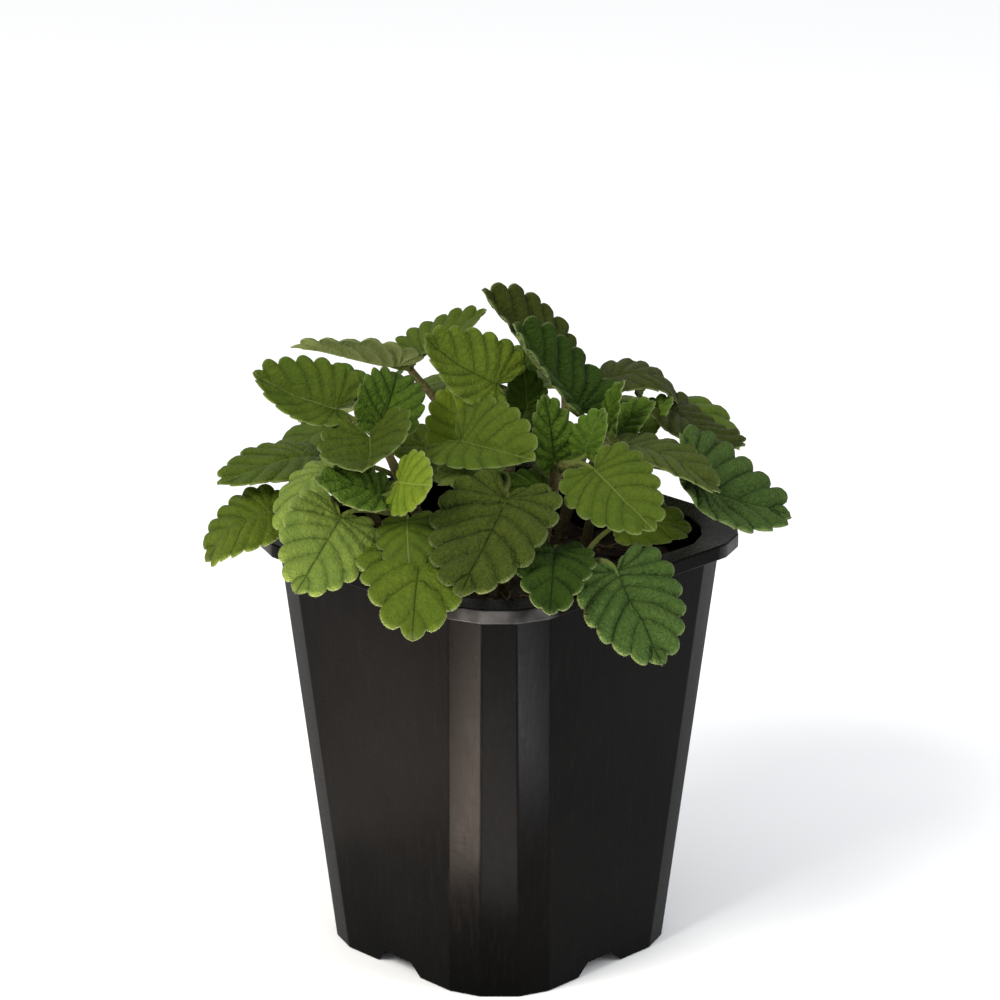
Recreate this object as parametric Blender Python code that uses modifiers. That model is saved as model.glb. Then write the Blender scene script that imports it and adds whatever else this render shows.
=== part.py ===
"""A young catnip plant in a moulded nursery pot.

Metres, +Z up. The origin is on the ground, under the middle of the pot's foot; the photo looks along +Y.
Sizes below are in millimetres and become metres where a mesh is made.
"""

import math
from collections import namedtuple

import bmesh
import bpy
import numpy as np
from mathutils import Matrix, Vector
from mathutils.geometry import delaunay_2d_cdt

MM = 0.001
GAP = 0.3  # between pieces that rest on or in each other

# Pot: a ring of 16 corners, four narrow groups joined by four wide flat facets
POT_HEIGHT = 128.0
WALL = 1.5
Ring = namedtuple("Ring", "nose nose_half side side_half")  # distance from the axis and half width
INSET_SHARES = Ring(1.0, 0.2, 0.85, 0.57)  # how far the corners move when the facets move by 1 mm
FOOT_RING = Ring(48.8, 5.8, 44.9, 14.6)
NECK_RING = Ring(64.2, 5.0, 59.7, 14.4)
RIM_RING = Ring(69.8, 5.1, 66.0, 14.2)
LIP_RING = Ring(58.8, 4.2, 56.3, 11.7)  # inner edge of the rim's flat top
NECK_HEIGHT = 126.6  # underside of the rim
SKIRT_BOTTOM = 123.6
SKIRT_WALL = 1.3
LIP_DROP = 0.8
LIP_DEPTH = 7.0
PLATE_BOTTOM = 5.0
PLATE_TOP = 6.5
NOTCH_LENGTH = 19.0
NOTCH_TOP_LENGTH = 11.0
NOTCH_HEIGHT = 4.1
CENTRE_DRAIN_RADIUS = 6.0
DRAIN_RADIUS = 4.0
DRAIN_CIRCLE = 29.0
DRAIN_COUNT = 6
DRAIN_SIDES = 12

# Soil
SOIL_LEVEL = 114.0
SOIL_BUMP = 1.3
SOIL_CLEARANCE = 0.6  # between the soil's side and the pot's wall
SOIL_EDGE_SLUMP = 1.5
SOIL_RINGS = 6

# Plant
STEM_RADIUS_LOW = 1.7
STEM_RADIUS_HIGH = 1.1
STEM_ROOT = 8.0  # how far a stem stands in its hole
HOLE_CLEARANCE = 0.4
STALK_RADIUS_LOW = 1.0
STALK_RADIUS_HIGH = 0.7
STALK_BEND = 0.45  # share of the stalk's length that turns into the blade's own direction
STALK_BEND_MOST = 6.0
STALK_PLACES = (0.0, 0.35, 0.7, 1.0)  # shares of the stalk's curve that get a ring of points
STALK_SINK = 0.35  # how far the stalk's axis lies under the blade's middle
STALK_REACH = 0.08  # share of the blade's length that the stalk runs in under
BLADE_THICKNESS = 0.8
TOOTH_DEPTH = 0.065  # share of the leaf's length
TOOTH_ROUNDNESS = 0.6
TOOTH_FADE = 0.3  # share of the margin, from the stalk, over which the teeth grow to full depth
TOOTH_SAMPLES = (0.0, 0.28, 0.72)  # places along one tooth that get a margin point
SINUS_TOOTH = 2  # margin points left out next to the stalk
MARGIN_DROOP = 0.06  # share of the leaf's width
MIDRIB_SHARES = (0.0, 0.16, 0.34, 0.52, 0.70, 0.86)

# Half of a leaf's outline, from the notch at its stalk round the basal lobe to its tip:
# (share of the length along the midrib, share of the width to the side)
HALF_OUTLINE = (
    (0.00, 0.00), (-0.09, 0.09), (-0.15, 0.22), (-0.12, 0.37), (0.03, 0.47), (0.22, 0.50),
    (0.45, 0.465), (0.65, 0.385), (0.82, 0.28), (0.95, 0.15), (1.00, 0.00),
)

BLACK = (0.022, 0.021, 0.021)
BARK_BROWN = (0.035, 0.022, 0.014)
GREEN = (0.09, 0.17, 0.035)
SHARP_ANGLE = 40.0

# A leaf: where its stalk leaves the stem (0 at the soil, 1 at the shoot), the blade's base and tip,
# its width, its roll about the midrib, the rise of each half, the arch of the midrib, and the teeth
# on each side
Leaf = namedtuple("Leaf", "at base tip width roll fold arch teeth")
Stem = namedtuple("Stem", "name path leaves")

STEMS = (
    Stem("leafy_stem_top_left", ((-5, 10, 114), (-7, 13, 135), (-15, 17, 156), (-26, 20, 170)), (
        Leaf(1.0, (-29.5, 21, 171), (-59, 18, 177), 30, -25, 18, 0, 8),
        Leaf(1.0, (-23, 27, 173), (-5, 35, 183), 26, 5, 22, -1, 8),
        Leaf(0.4, (-14, 22, 140), (-36, 30, 146), 24, 10, 10, 2, 6),
    )),
    Stem("leafy_stem_top", ((10, 8, 114), (13, 10, 132), (19, 14, 156), (19, 18, 168)), (
        Leaf(1.0, (15, 30, 168), (-4, 27, 191), 29, 27, 28, 0, 8),
        Leaf(0.8, (23, 11, 160), (5, 12, 185), 33, 14, 33, -2, 8),
        Leaf(0.4, (9, 22, 144), (6, 40, 158), 22, 0, 10, 2, 6),
    )),
    Stem("leafy_stem_right", ((24, 2, 114), (26, 2, 126), (29, 3, 142), (30, 3, 151)), (
        Leaf(0.9, (55, -5, 146), (83, 1, 131), 33, -29, 19, -2, 8),
        Leaf(1.0, (35, -7, 155), (62, -16, 145), 27, 4, 10, 3, 8),
        Leaf(1.0, (35, 12, 152), (45, 13, 162), 15, -20, 15, 1, 7),
        Leaf(1.0, (33, 3, 158), (36, 4, 171), 12, 0, 15, 1, 6),
    )),
    Stem("leafy_stem_right_back", ((17, 18, 114), (21, 23, 130), (28, 29, 150), (31, 31, 158)), (
        Leaf(1.0, (33, 37, 162), (53, 39, 155), 24, -4, 8, 4, 7),
        Leaf(0.9, (51, 33, 154), (71, 22, 146), 25, 4, 7, -2, 8),
        Leaf(0.7, (43, 28, 149), (51, 30, 158), 12, -20, 15, 1, 6),
    )),
    Stem("leafy_stem_left", ((-17, -3, 114), (-22, -4, 128), (-30, -8, 148), (-33, -10, 158)), (
        Leaf(0.9, (-47, -2, 165), (-70, 1, 174), 26, 31, 30, -2, 8),
        Leaf(0.8, (-37, -17, 161), (-38, -43, 159), 28, -15, 27, -2, 7),
        Leaf(1.0, (-34, -9, 162), (-30, 5, 173), 21, -24, 30, 4, 7),
    )),
    Stem("leafy_stem_far_left", ((-27, 5, 114), (-34, 4, 126), (-44, 0, 141), (-47, 0, 148)), (
        Leaf(1.0, (-53, 9, 146), (-80, -3, 143), 31, 2, 6, 2, 8),
        Leaf(0.8, (-66, -12, 137), (-84.5, -13, 123.5), 25, 22, 6, 3, 8),
        Leaf(0.8, (-49, -18, 152), (-62, -28, 136), 23, -10, 4, 3, 7),
    )),
    Stem("leafy_stem_front_left", ((-15, -20, 114), (-19, -26, 126), (-27, -34, 143), (-30, -37, 152)), (
        Leaf(0.7, (-45, -38, 144), (-56.5, -56, 129), 26, 38, 8, 2, 8),
        Leaf(1.0, (-33, -38, 151), (-51, -39, 156), 21, 14, 9, 0, 7),
        Leaf(1.0, (-28, -42, 156), (-19, -54, 159), 18, -60, 6, 0, 6),
        Leaf(0.7, (-26, -41, 144), (-25, -56, 134), 16, -12, 4, 1, 6),
        Leaf(0.35, (-21.5, -42, 137), (-24, -74, 123), 31, 0, 6, 4, 7),
    )),
    Stem("leafy_stem_front", ((1, -20, 114), (2, -24, 128), (3, -31, 143), (1, -34, 149)), (
        Leaf(0.9, (2, -40, 150.5), (-10, -67, 132.2), 32, 5, 12, 0, 8),
        Leaf(1.0, (-1, -18, 151), (-18, -18, 149), 18, 20, 11, 2, 6),
        Leaf(0.7, (13, -20, 147), (0, -24, 147), 13, 25, 10, 1, 6),
    )),
    Stem("leafy_stem_middle", ((-3, -4, 114), (-4, -5, 130), (-5, -5, 148), (-3, -2, 160)), (
        Leaf(1.0, (-1, 5, 170), (-21, 8, 183), 27, 33, 26, -2, 8),
        Leaf(0.8, (-11, -11, 158), (9, -31, 159), 28, -33, 30, 0, 8),
        Leaf(0.7, (-10, 2, 152), (-14, 13, 167), 19, 10, 5, 1, 7),
        Leaf(1.0, (8, 14, 160), (7, 18, 171), 12, 0, 10, 1, 6),
    )),
    Stem("leafy_stem_front_right", ((11, -10, 114), (13, -13, 128), (16, -18, 146), (18, -19, 154)), (
        Leaf(0.9, (27, -34, 157), (42.5, -47.5, 144.5), 25, -27, 9, 0, 8),
        Leaf(1.0, (16, -15, 153), (13, -10, 171), 14, 8, 28, 0, 7),
        Leaf(1.0, (25, -17, 157), (30, -13, 168), 12, -10, 20, 1, 6),
    )),
    Stem("leafy_stem_low_right", ((18, -25, 114), (20, -31, 123), (22, -36, 129)), (
        Leaf(1.0, (33, -52, 133), (44.5, -65.5, 111.4), 29, -14, 10, 0, 8),
        Leaf(1.0, (15.5, -46.5, 137.4), (14, -74, 129), 20, 6, 12, 2, 7),
        Leaf(0.6, (36, -9, 132), (55, -6, 130), 19, -26, 12, 1, 5),
    )),
    Stem("leafy_stem_back_left", ((-20, 23, 114), (-26, 30, 126), (-36, 42, 142), (-40, 48, 150)), (
        Leaf(0.9, (-48, 42, 146), (-68, 36, 134), 25, 0, 8, 2, 5),
        Leaf(0.9, (-43, 57, 148), (-55.5, 74, 134), 26, 0, 8, 2, 5),
        Leaf(0.5, (-43, 32, 137), (-66, 44, 131), 24, 0, 5, 1, 4),
        Leaf(0.5, (-26, 46, 139), (-27, 72, 131), 24, 0, 8, 2, 4),
        Leaf(1.0, (-42, 50, 152), (-52, 56, 160), 14, 0, 20, 1, 4),
        Leaf(1.0, (-38, 48, 152), (-30, 40, 162), 14, 0, 20, 1, 4),
    )),
    Stem("leafy_stem_back", ((2, 26, 114), (3, 34, 128), (4, 46, 146), (5, 52, 156)), (
        Leaf(0.9, (-3, 54, 155), (-28, 62, 150), 26, 0, 8, 2, 5),
        Leaf(0.9, (12, 55, 155.5), (31.5, 70, 147), 25, 0, 8, 2, 5),
        Leaf(0.5, (5, 48, 140), (4, 74.5, 130), 26, 0, 8, 2, 4),
        Leaf(1.0, (4, 50, 158), (-4, 46, 170), 14, 0, 20, 1, 4),
        Leaf(1.0, (7, 54, 158), (14, 60, 168), 14, 0, 20, 1, 4),
    )),
    Stem("leafy_stem_back_right", ((18, 32, 114), (24, 38, 128), (36, 47, 143), (44, 52, 150)), (
        Leaf(0.9, (51, 47.6, 150), (71, 37.6, 141), 24, 0, 8, 2, 5),
        Leaf(0.9, (46, 58, 147.5), (54, 74.8, 136.5), 23, 0, 8, 2, 5),
        Leaf(0.5, (29, 50, 135), (25, 74.5, 130), 25, 0, 8, 2, 4),
        Leaf(1.0, (42, 53, 153), (38, 54, 162), 13, 0, 20, 1, 4),
    )),
)


def clear_scene():
    for obj in list(bpy.data.objects):
        bpy.data.objects.remove(obj, do_unlink=True)


def new_collection(name, hidden=False):
    collection = bpy.data.collections.new(name)
    collection.hide_render = hidden
    bpy.context.scene.collection.children.link(collection)
    return collection


def material(name, colour, roughness):
    made = bpy.data.materials.new(name)
    made.use_nodes = True
    shader = made.node_tree.nodes["Principled BSDF"]
    shader.inputs["Base Color"].default_value = (*colour, 1.0)
    shader.inputs["Roughness"].default_value = roughness
    shader.inputs["Metallic"].default_value = 0.0
    return made


def mesh_object(name, points, faces, collection):
    """Object from points in millimetres."""
    mesh = bpy.data.meshes.new(name)
    corners = [tuple(float(c) * MM for c in point) for point in points]
    mesh.from_pydata(corners, [], [tuple(map(int, face)) for face in faces])
    mesh.validate()
    mesh.update()
    obj = bpy.data.objects.new(name, mesh)
    collection.objects.link(obj)
    return obj


def face_outwards(obj):
    shape = bmesh.new()
    shape.from_mesh(obj.data)
    bmesh.ops.recalc_face_normals(shape, faces=shape.faces)
    shape.to_mesh(obj.data)
    shape.free()


def add_boolean(obj, operation, other):
    modifier = obj.modifiers.new(operation.title(), "BOOLEAN")
    modifier.operation = operation
    if isinstance(other, bpy.types.Collection):
        modifier.operand_type = "COLLECTION"
        modifier.collection = other
    else:
        modifier.object = other
    return modifier


def as_cutter(obj):
    obj.hide_render = True
    obj.display_type = "WIRE"
    return obj


def apply_modifiers(obj):
    graph = bpy.context.evaluated_depsgraph_get()
    baked = bpy.data.meshes.new_from_object(obj.evaluated_get(graph))
    obj.modifiers.clear()
    obj.data = baked


def lerp_ring(low, high, share):
    return Ring(*(a + (b - a) * share for a, b in zip(low, high)))


def inset_ring(ring, distance):
    """The same ring, each facet moved inwards by this distance."""
    return Ring(*(a - b * distance for a, b in zip(ring, INSET_SHARES)))


def body_ring(height):
    return lerp_ring(FOOT_RING, NECK_RING, height / SKIRT_BOTTOM)


def ring_points(ring, height):
    """Sixteen corners, anticlockwise from the front group."""
    points = []
    corners = ((ring.side, -ring.side_half), (ring.nose, -ring.nose_half), (ring.nose, ring.nose_half),
               (ring.side, ring.side_half))
    for quarter in range(4):
        turn = math.radians(90 * quarter - 90)
        for out, along in corners:
            points.append((out * math.cos(turn) - along * math.sin(turn),
                           out * math.sin(turn) + along * math.cos(turn), height))
    return points


def loft(rings):
    """Points and faces through closed rings of equal count, with both ends capped."""
    count = len(rings[0])
    points = [p for ring in rings for p in ring]
    faces = []
    for level in range(len(rings) - 1):
        for k in range(count):
            a = level * count + k
            b = level * count + (k + 1) % count
            faces.append((a, b, b + count, a + count))
    faces.append(tuple(range(count))[::-1])
    faces.append(tuple(range(len(points) - count, len(points))))
    return points, faces


def build_pot(parts, cutters):
    inner_neck = SKIRT_BOTTOM - LIP_DEPTH
    rings = [
        ring_points(inset_ring(body_ring(PLATE_BOTTOM), WALL), PLATE_BOTTOM),
        ring_points(inset_ring(FOOT_RING, WALL), 0.0),
        ring_points(FOOT_RING, 0.0),
        ring_points(body_ring(NECK_HEIGHT), NECK_HEIGHT),
        ring_points(inset_ring(RIM_RING, SKIRT_WALL), NECK_HEIGHT),
        ring_points(inset_ring(RIM_RING, SKIRT_WALL), SKIRT_BOTTOM),
        ring_points(RIM_RING, SKIRT_BOTTOM),
        ring_points(RIM_RING, POT_HEIGHT),
        ring_points(LIP_RING, POT_HEIGHT - LIP_DROP),
        ring_points(inset_ring(body_ring(inner_neck), WALL), inner_neck),
        ring_points(inset_ring(body_ring(PLATE_TOP), WALL), PLATE_TOP),
    ]
    pot = mesh_object("pot", *loft(rings), parts)
    face_outwards(pot)
    pot.data.materials.append(material("Satin black plastic", BLACK, 0.42))
    for quarter in range(4):
        add_boolean(pot, "DIFFERENCE", foot_notch(quarter, cutters))
    add_boolean(pot, "DIFFERENCE", drain_hole("centre_drain", 0.0, 0.0, CENTRE_DRAIN_RADIUS, cutters))
    for k in range(DRAIN_COUNT):
        turn = math.radians(360 * (k + 0.5) / DRAIN_COUNT)
        add_boolean(pot, "DIFFERENCE", drain_hole(f"drain_{k}", DRAIN_CIRCLE * math.cos(turn),
                                                  DRAIN_CIRCLE * math.sin(turn), DRAIN_RADIUS, cutters))
    apply_modifiers(pot)
    return pot


def foot_notch(quarter, cutters):
    """A low trapezoid through the foot, in the middle of a wide facet."""
    near, far, below = 36.0, 60.0, -2.0
    low, high = NOTCH_LENGTH / 2, NOTCH_TOP_LENGTH / 2
    flare = low + (low - high) * -below / NOTCH_HEIGHT
    outline = ((-flare, below), (flare, below), (high, NOTCH_HEIGHT), (-high, NOTCH_HEIGHT))
    rings = [[(out, along, up) for along, up in outline] for out in (near, far)]
    cutter = mesh_object(f"foot_notch_{quarter}", *loft(rings), cutters)
    face_outwards(cutter)
    cutter.data.transform(Matrix.Rotation(math.radians(90 * quarter + 45), 4, "Z"))
    return as_cutter(cutter)


def drain_hole(name, x, y, radius, cutters):
    middle = (PLATE_BOTTOM + PLATE_TOP) / 2
    bpy.ops.mesh.primitive_cylinder_add(vertices=DRAIN_SIDES, radius=radius * MM, depth=4 * WALL * MM,
                                        location=(x * MM, y * MM, middle * MM))
    cutter = bpy.context.active_object
    cutter.name = name
    for collection in cutter.users_collection:
        collection.objects.unlink(cutter)
    cutters.objects.link(cutter)
    return as_cutter(cutter)


def soil_height(x, y):
    waves = math.sin(0.21 * x + 0.6) * math.cos(0.17 * y - 0.4) + 0.6 * math.sin(0.43 * x - 0.31 * y)
    return SOIL_LEVEL + SOIL_BUMP * waves


def build_soil(parts, cutters):
    """A plug that fills the pot, with an uneven top and one plain hole for each stem."""
    bottom = PLATE_TOP + GAP
    edge = SOIL_LEVEL - SOIL_EDGE_SLUMP - 0.5
    clear = WALL + SOIL_CLEARANCE
    rings = [
        ring_points(inset_ring(body_ring(bottom), clear), bottom),
        ring_points(inset_ring(body_ring(edge), clear), edge),
    ]
    outer = ring_points(inset_ring(body_ring(SOIL_LEVEL), clear), SOIL_LEVEL)
    for step in range(SOIL_RINGS):
        share = 1.0 - step / SOIL_RINGS
        rings.append([(x * share, y * share, soil_height(x * share, y * share) - SOIL_EDGE_SLUMP * share ** 6)
                      for x, y, _ in outer])
    soil = mesh_object("soil", *loft(rings), parts)
    shape = bmesh.new()
    shape.from_mesh(soil.data)
    bmesh.ops.recalc_face_normals(shape, faces=shape.faces)
    bmesh.ops.triangulate(shape, faces=shape.faces)
    shape.to_mesh(soil.data)
    shape.free()
    soil.data.materials.append(material("Composted bark soil", BARK_BROWN, 0.95))
    for stem in STEMS:
        add_boolean(soil, "DIFFERENCE", stem_hole(stem, cutters))
    apply_modifiers(soil)
    return soil


def stem_hole(stem, cutters):
    path = stem_path(stem)
    start, ahead = Vector(path[0]), Vector(path[1] - path[0]).normalized()
    reach = 6.0
    depth = HOLE_CLEARANCE
    radius = STEM_RADIUS_LOW + HOLE_CLEARANCE
    length = reach + depth + np.linalg.norm(path[1] - path[0])
    bpy.ops.mesh.primitive_cylinder_add(vertices=8, radius=radius * MM, depth=length * MM)
    cutter = bpy.context.active_object
    cutter.name = stem.name + "_hole"
    middle = start + ahead * (length / 2 - depth)
    turn = ahead.to_track_quat("Z", "Y").to_matrix().to_4x4()
    cutter.matrix_world = Matrix.Translation(middle * MM) @ turn
    for collection in cutter.users_collection:
        collection.objects.unlink(cutter)
    cutters.objects.link(cutter)
    return as_cutter(cutter)


def smooth_path(points, steps=3):
    """Catmull-Rom curve through the points."""
    knots = np.array(points, float)
    ends = np.vstack([2 * knots[0] - knots[1], knots, 2 * knots[-1] - knots[-2]])
    path = []
    for p0, p1, p2, p3 in zip(ends, ends[1:], ends[2:], ends[3:]):
        for t in np.arange(steps) / steps:
            path.append(0.5 * (2 * p1 + (p2 - p0) * t + (2 * p0 - 5 * p1 + 4 * p2 - p3) * t ** 2
                               + (3 * p1 - p0 - 3 * p2 + p3) * t ** 3))
    path.append(knots[-1])
    return np.array(path)


def stem_path(stem):
    """The stem's points, with a straight root that stands in the soil."""
    path = smooth_path(stem.path)
    ahead = path[1] - path[0]
    root = path[0] - ahead / np.linalg.norm(ahead) * STEM_ROOT
    return np.vstack([root, path])


def square_tube(name, points, radii, collection):
    """Mesh of a four-sided tube: catnip's stems and stalks are square."""
    curve = bpy.data.curves.new(name, "CURVE")
    curve.dimensions = "3D"
    curve.bevel_depth = MM
    curve.bevel_resolution = 0
    curve.use_fill_caps = True
    spline = curve.splines.new("POLY")
    spline.points.add(len(points) - 1)
    for point, place, radius in zip(spline.points, points, radii):
        point.co = (*(float(c) * MM for c in place), 1.0)
        point.radius = radius
    source = bpy.data.objects.new(name + "_curve", curve)
    collection.objects.link(source)
    graph = bpy.context.evaluated_depsgraph_get()
    mesh = bpy.data.meshes.new_from_object(source.evaluated_get(graph))
    tube = bpy.data.objects.new(name, mesh)
    tube.matrix_world = source.matrix_world
    collection.objects.link(tube)
    bpy.data.objects.remove(source, do_unlink=True)
    shape = bmesh.new()
    shape.from_mesh(mesh)
    bmesh.ops.remove_doubles(shape, verts=shape.verts, dist=0.00001)
    bmesh.ops.recalc_face_normals(shape, faces=shape.faces)
    bmesh.ops.triangulate(shape, faces=shape.faces)
    shape.to_mesh(mesh)
    shape.free()
    return tube


def outline_at(shares):
    """Places on the half outline at shares of its length."""
    fine = smooth_path([(a, b, 0.0) for a, b in HALF_OUTLINE], steps=24)[:, :2]
    run = np.concatenate([[0.0], np.cumsum(np.linalg.norm(np.diff(fine, axis=0), axis=1))])
    run /= run[-1]
    return np.column_stack([np.interp(shares, run, fine[:, 0]), np.interp(shares, run, fine[:, 1])])


def leaf_length(leaf):
    return math.dist(leaf.base, leaf.tip)


def half_margin(leaf):
    """Toothed half margin in millimetres: (along the midrib, to the side)."""
    count = leaf.teeth + 0.5
    shares = [(tooth + part) / count for tooth in range(leaf.teeth) for part in TOOTH_SAMPLES]
    shares += [(leaf.teeth + part) / count for part in TOOTH_SAMPLES if part < 0.5] + [1.0]
    shares = np.array(shares)
    size = np.array([leaf_length(leaf), leaf.width])
    step = 0.001
    run = (outline_at(np.minimum(shares + step, 1)) - outline_at(np.maximum(shares - step, 0))) * size
    run /= np.linalg.norm(run, axis=1)[:, None]
    outwards = np.column_stack([-run[:, 1], run[:, 0]])
    rise = np.abs(np.sin(np.pi * count * shares)) ** TOOTH_ROUNDNESS
    rise *= TOOTH_DEPTH * leaf_length(leaf) * np.minimum(1.0, shares / TOOTH_FADE)
    half = outline_at(shares) * size + outwards * rise[:, None]
    half[:, 1] = np.maximum(half[:, 1], 0.0)
    half[-1, 1] = 0.0
    return half


def leaf_frame(leaf):
    """Base point and unit vectors along the midrib, to the side and out of the upper face."""
    base, tip = np.array(leaf.base, float), np.array(leaf.tip, float)
    along = (tip - base) / np.linalg.norm(tip - base)
    flat = np.array((0.0, 0.0, 1.0))
    flat -= along * along[2]
    flat /= np.linalg.norm(flat)
    level = np.cross(flat, along)
    roll = math.radians(leaf.roll)
    upper = flat * math.cos(roll) + level * math.sin(roll)
    side = level * math.cos(roll) - flat * math.sin(roll)
    return base, along, side, upper


def on_blade(leaf, along_mm, side_mm):
    """Points of the arched, folded blade."""
    base, along, side, upper = leaf_frame(leaf)
    share = along_mm / leaf_length(leaf)
    fold = math.radians(leaf.fold)
    rise = np.abs(side_mm) * math.sin(fold) + 4 * leaf.arch * share * (1 - share)
    rise = rise - MARGIN_DROOP * leaf.width * (2 * np.abs(side_mm) / leaf.width) ** 2
    return (base + np.multiply.outer(along_mm, along) + np.multiply.outer(side_mm * math.cos(fold), side)
            + np.multiply.outer(rise, upper))


def half_faces(border):
    """Triangles that fill the flat border, without crossing its notches."""
    loop = [Vector(point) for point in border]
    edges = [(k, (k + 1) % len(loop)) for k in range(len(loop))]
    return delaunay_2d_cdt(loop, edges, [list(range(len(loop)))], 1, 0.001)[2]


def blade_object(name, leaf, collection):
    """Closed blade: triangles between the midrib and the toothed margin, given their thickness."""
    half = half_margin(leaf)
    margin = [tuple(p) for p in half[SINUS_TOOTH:-1]][::-1]
    midrib = [(share * leaf_length(leaf), 0.0) for share in MIDRIB_SHARES] + [tuple(half[-1])]
    rib_count = len(midrib)
    faces = half_faces(midrib + margin)
    mirrored = [[k if k < rib_count else k + len(margin) for k in face][::-1] for face in faces]
    flat = np.array(midrib + margin + [(x, -y) for x, y in margin])
    blade = mesh_object(name, on_blade(leaf, flat[:, 0], flat[:, 1]), faces + mirrored, collection)
    shell = blade.modifiers.new("Thickness", "SOLIDIFY")
    shell.thickness = BLADE_THICKNESS * MM
    shell.offset = 0.0
    apply_modifiers(blade)
    return blade


def stalk_path(start, leaf):
    """From the stem to the blade's base, then a little way under the midrib."""
    base, along, _, upper = leaf_frame(leaf)
    under = upper * STALK_SINK
    bend = base - along * min(STALK_BEND_MOST, STALK_BEND * np.linalg.norm(base - start))
    path = [
        (1 - t) ** 2 * start + 2 * t * (1 - t) * bend + t * t * (base - under)
        for t in STALK_PLACES
    ]
    into = on_blade(leaf, np.array([STALK_REACH * leaf_length(leaf)]), np.array([0.0]))[0] - under
    return np.array(path + [into])


def fuse(obj, pieces, parts):
    """Joins the pieces to the object in one body and removes them."""
    repeats = bpy.data.collections.new(obj.name + "_pieces")
    bpy.context.scene.collection.children.link(repeats)
    for piece in pieces:
        parts.objects.unlink(piece)
        repeats.objects.link(piece)
    add_boolean(obj, "UNION", repeats).solver = "EXACT"
    apply_modifiers(obj)
    for piece in pieces:
        bpy.data.objects.remove(piece, do_unlink=True)
    bpy.data.collections.remove(repeats)
    keep_outer_body(obj)


def keep_outer_body(obj):
    """Fills hollows that joining sealed and drops loose scrap: only the largest closed surface stays."""
    shape = bmesh.new()
    shape.from_mesh(obj.data)
    bmesh.ops.triangulate(shape, faces=shape.faces)
    left = set(shape.faces)
    islands = []
    while left:
        front = [left.pop()]
        island = list(front)
        while front:
            face = front.pop()
            for edge in face.edges:
                for other in edge.link_faces:
                    if other in left:
                        left.remove(other)
                        front.append(other)
                        island.append(other)
        islands.append(island)
    islands.sort(key=len)
    for island in islands[:-1]:
        bmesh.ops.delete(shape, geom=island, context="FACES")
    loose = [v for v in shape.verts if not v.link_faces]
    bmesh.ops.delete(shape, geom=loose, context="VERTS")
    shape.to_mesh(obj.data)
    shape.free()


def build_stem(stem, leaf_material, parts):
    path = stem_path(stem)
    radii = np.linspace(STEM_RADIUS_LOW, STEM_RADIUS_HIGH, len(path))
    obj = square_tube(stem.name, path, radii, parts)
    shown = path[1:]
    pieces = []
    for number, leaf in enumerate(stem.leaves):
        start = shown[round(leaf.at * (len(shown) - 1))]
        way = stalk_path(start, leaf)
        thick = np.linspace(STALK_RADIUS_LOW, STALK_RADIUS_HIGH, len(way))
        pieces.append(square_tube(f"stalk_{number}", way, thick, parts))
        pieces.append(blade_object(f"blade_{number}", leaf, parts))
    fuse(obj, pieces, parts)
    obj.data.materials.clear()
    obj.data.materials.append(leaf_material)
    obj.data.shade_smooth()
    obj.data.set_sharp_from_angle(angle=math.radians(SHARP_ANGLE))
    return obj


def main():
    clear_scene()
    parts = new_collection("potted_catnip")
    cutters = new_collection("potted_catnip_cutters", hidden=True)
    build_pot(parts, cutters)
    build_soil(parts, cutters)
    leaf_material = material("Catnip leaf", GREEN, 0.6)
    for stem in STEMS:
        build_stem(stem, leaf_material, parts)


main()
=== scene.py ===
"""Looks for the potted catnip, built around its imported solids.

Metres, +Z up. The origin is on the ground, under the middle of the pot's foot; the photo looks along +Y.
Lengths below are in millimetres and become metres where a mesh is made.
"""

import math
from collections import namedtuple

import bmesh
import bpy
import numpy as np
from mathutils import Matrix, Vector


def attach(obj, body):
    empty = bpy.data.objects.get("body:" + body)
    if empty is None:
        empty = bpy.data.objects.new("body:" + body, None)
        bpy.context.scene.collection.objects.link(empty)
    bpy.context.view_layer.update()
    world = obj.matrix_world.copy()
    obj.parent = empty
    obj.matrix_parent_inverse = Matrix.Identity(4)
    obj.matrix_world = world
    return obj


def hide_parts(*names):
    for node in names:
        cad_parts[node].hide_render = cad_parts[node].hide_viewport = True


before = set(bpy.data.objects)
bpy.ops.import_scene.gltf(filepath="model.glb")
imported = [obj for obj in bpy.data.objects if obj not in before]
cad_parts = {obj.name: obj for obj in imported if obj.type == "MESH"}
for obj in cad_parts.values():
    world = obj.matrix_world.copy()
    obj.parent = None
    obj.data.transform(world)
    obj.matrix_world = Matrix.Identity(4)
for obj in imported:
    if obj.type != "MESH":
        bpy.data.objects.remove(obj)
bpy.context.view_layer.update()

MM = 0.001

# Pot: a ring of 16 corners, four narrow groups joined by four wide flat facets
POT_HEIGHT = 128.0
WALL = 1.5
Ring = namedtuple("Ring", "nose nose_half side side_half")  # distance from the axis and half width
INSET_SHARES = Ring(1.0, 0.2, 0.85, 0.57)  # how far the corners move when the facets move by 1 mm
FOOT_RING = Ring(48.8, 5.8, 44.9, 14.6)
NECK_RING = Ring(64.2, 5.0, 59.7, 14.4)
RIM_RING = Ring(69.8, 5.1, 66.0, 14.2)
LIP_RING = Ring(58.8, 4.2, 56.3, 11.7)  # inner edge of the rim's flat top
NECK_HEIGHT = 126.6  # underside of the rim
SKIRT_BOTTOM = 123.6
SKIRT_WALL = 1.3
LIP_DROP = 0.8
LIP_DEPTH = 7.0
PLATE_BOTTOM = 5.0
PLATE_TOP = 6.5
NOTCH_LENGTH = 19.0
NOTCH_TOP_LENGTH = 11.0
NOTCH_HEIGHT = 4.1
NOTCH_BELOW = 2.0
NOTCH_SPAN = (36.0, 60.0)
CENTRE_DRAIN_RADIUS = 6.0
DRAIN_RADIUS = 4.0
DRAIN_CIRCLE = 29.0
DRAIN_COUNT = 6
DRAIN_SIDES = 32
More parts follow.
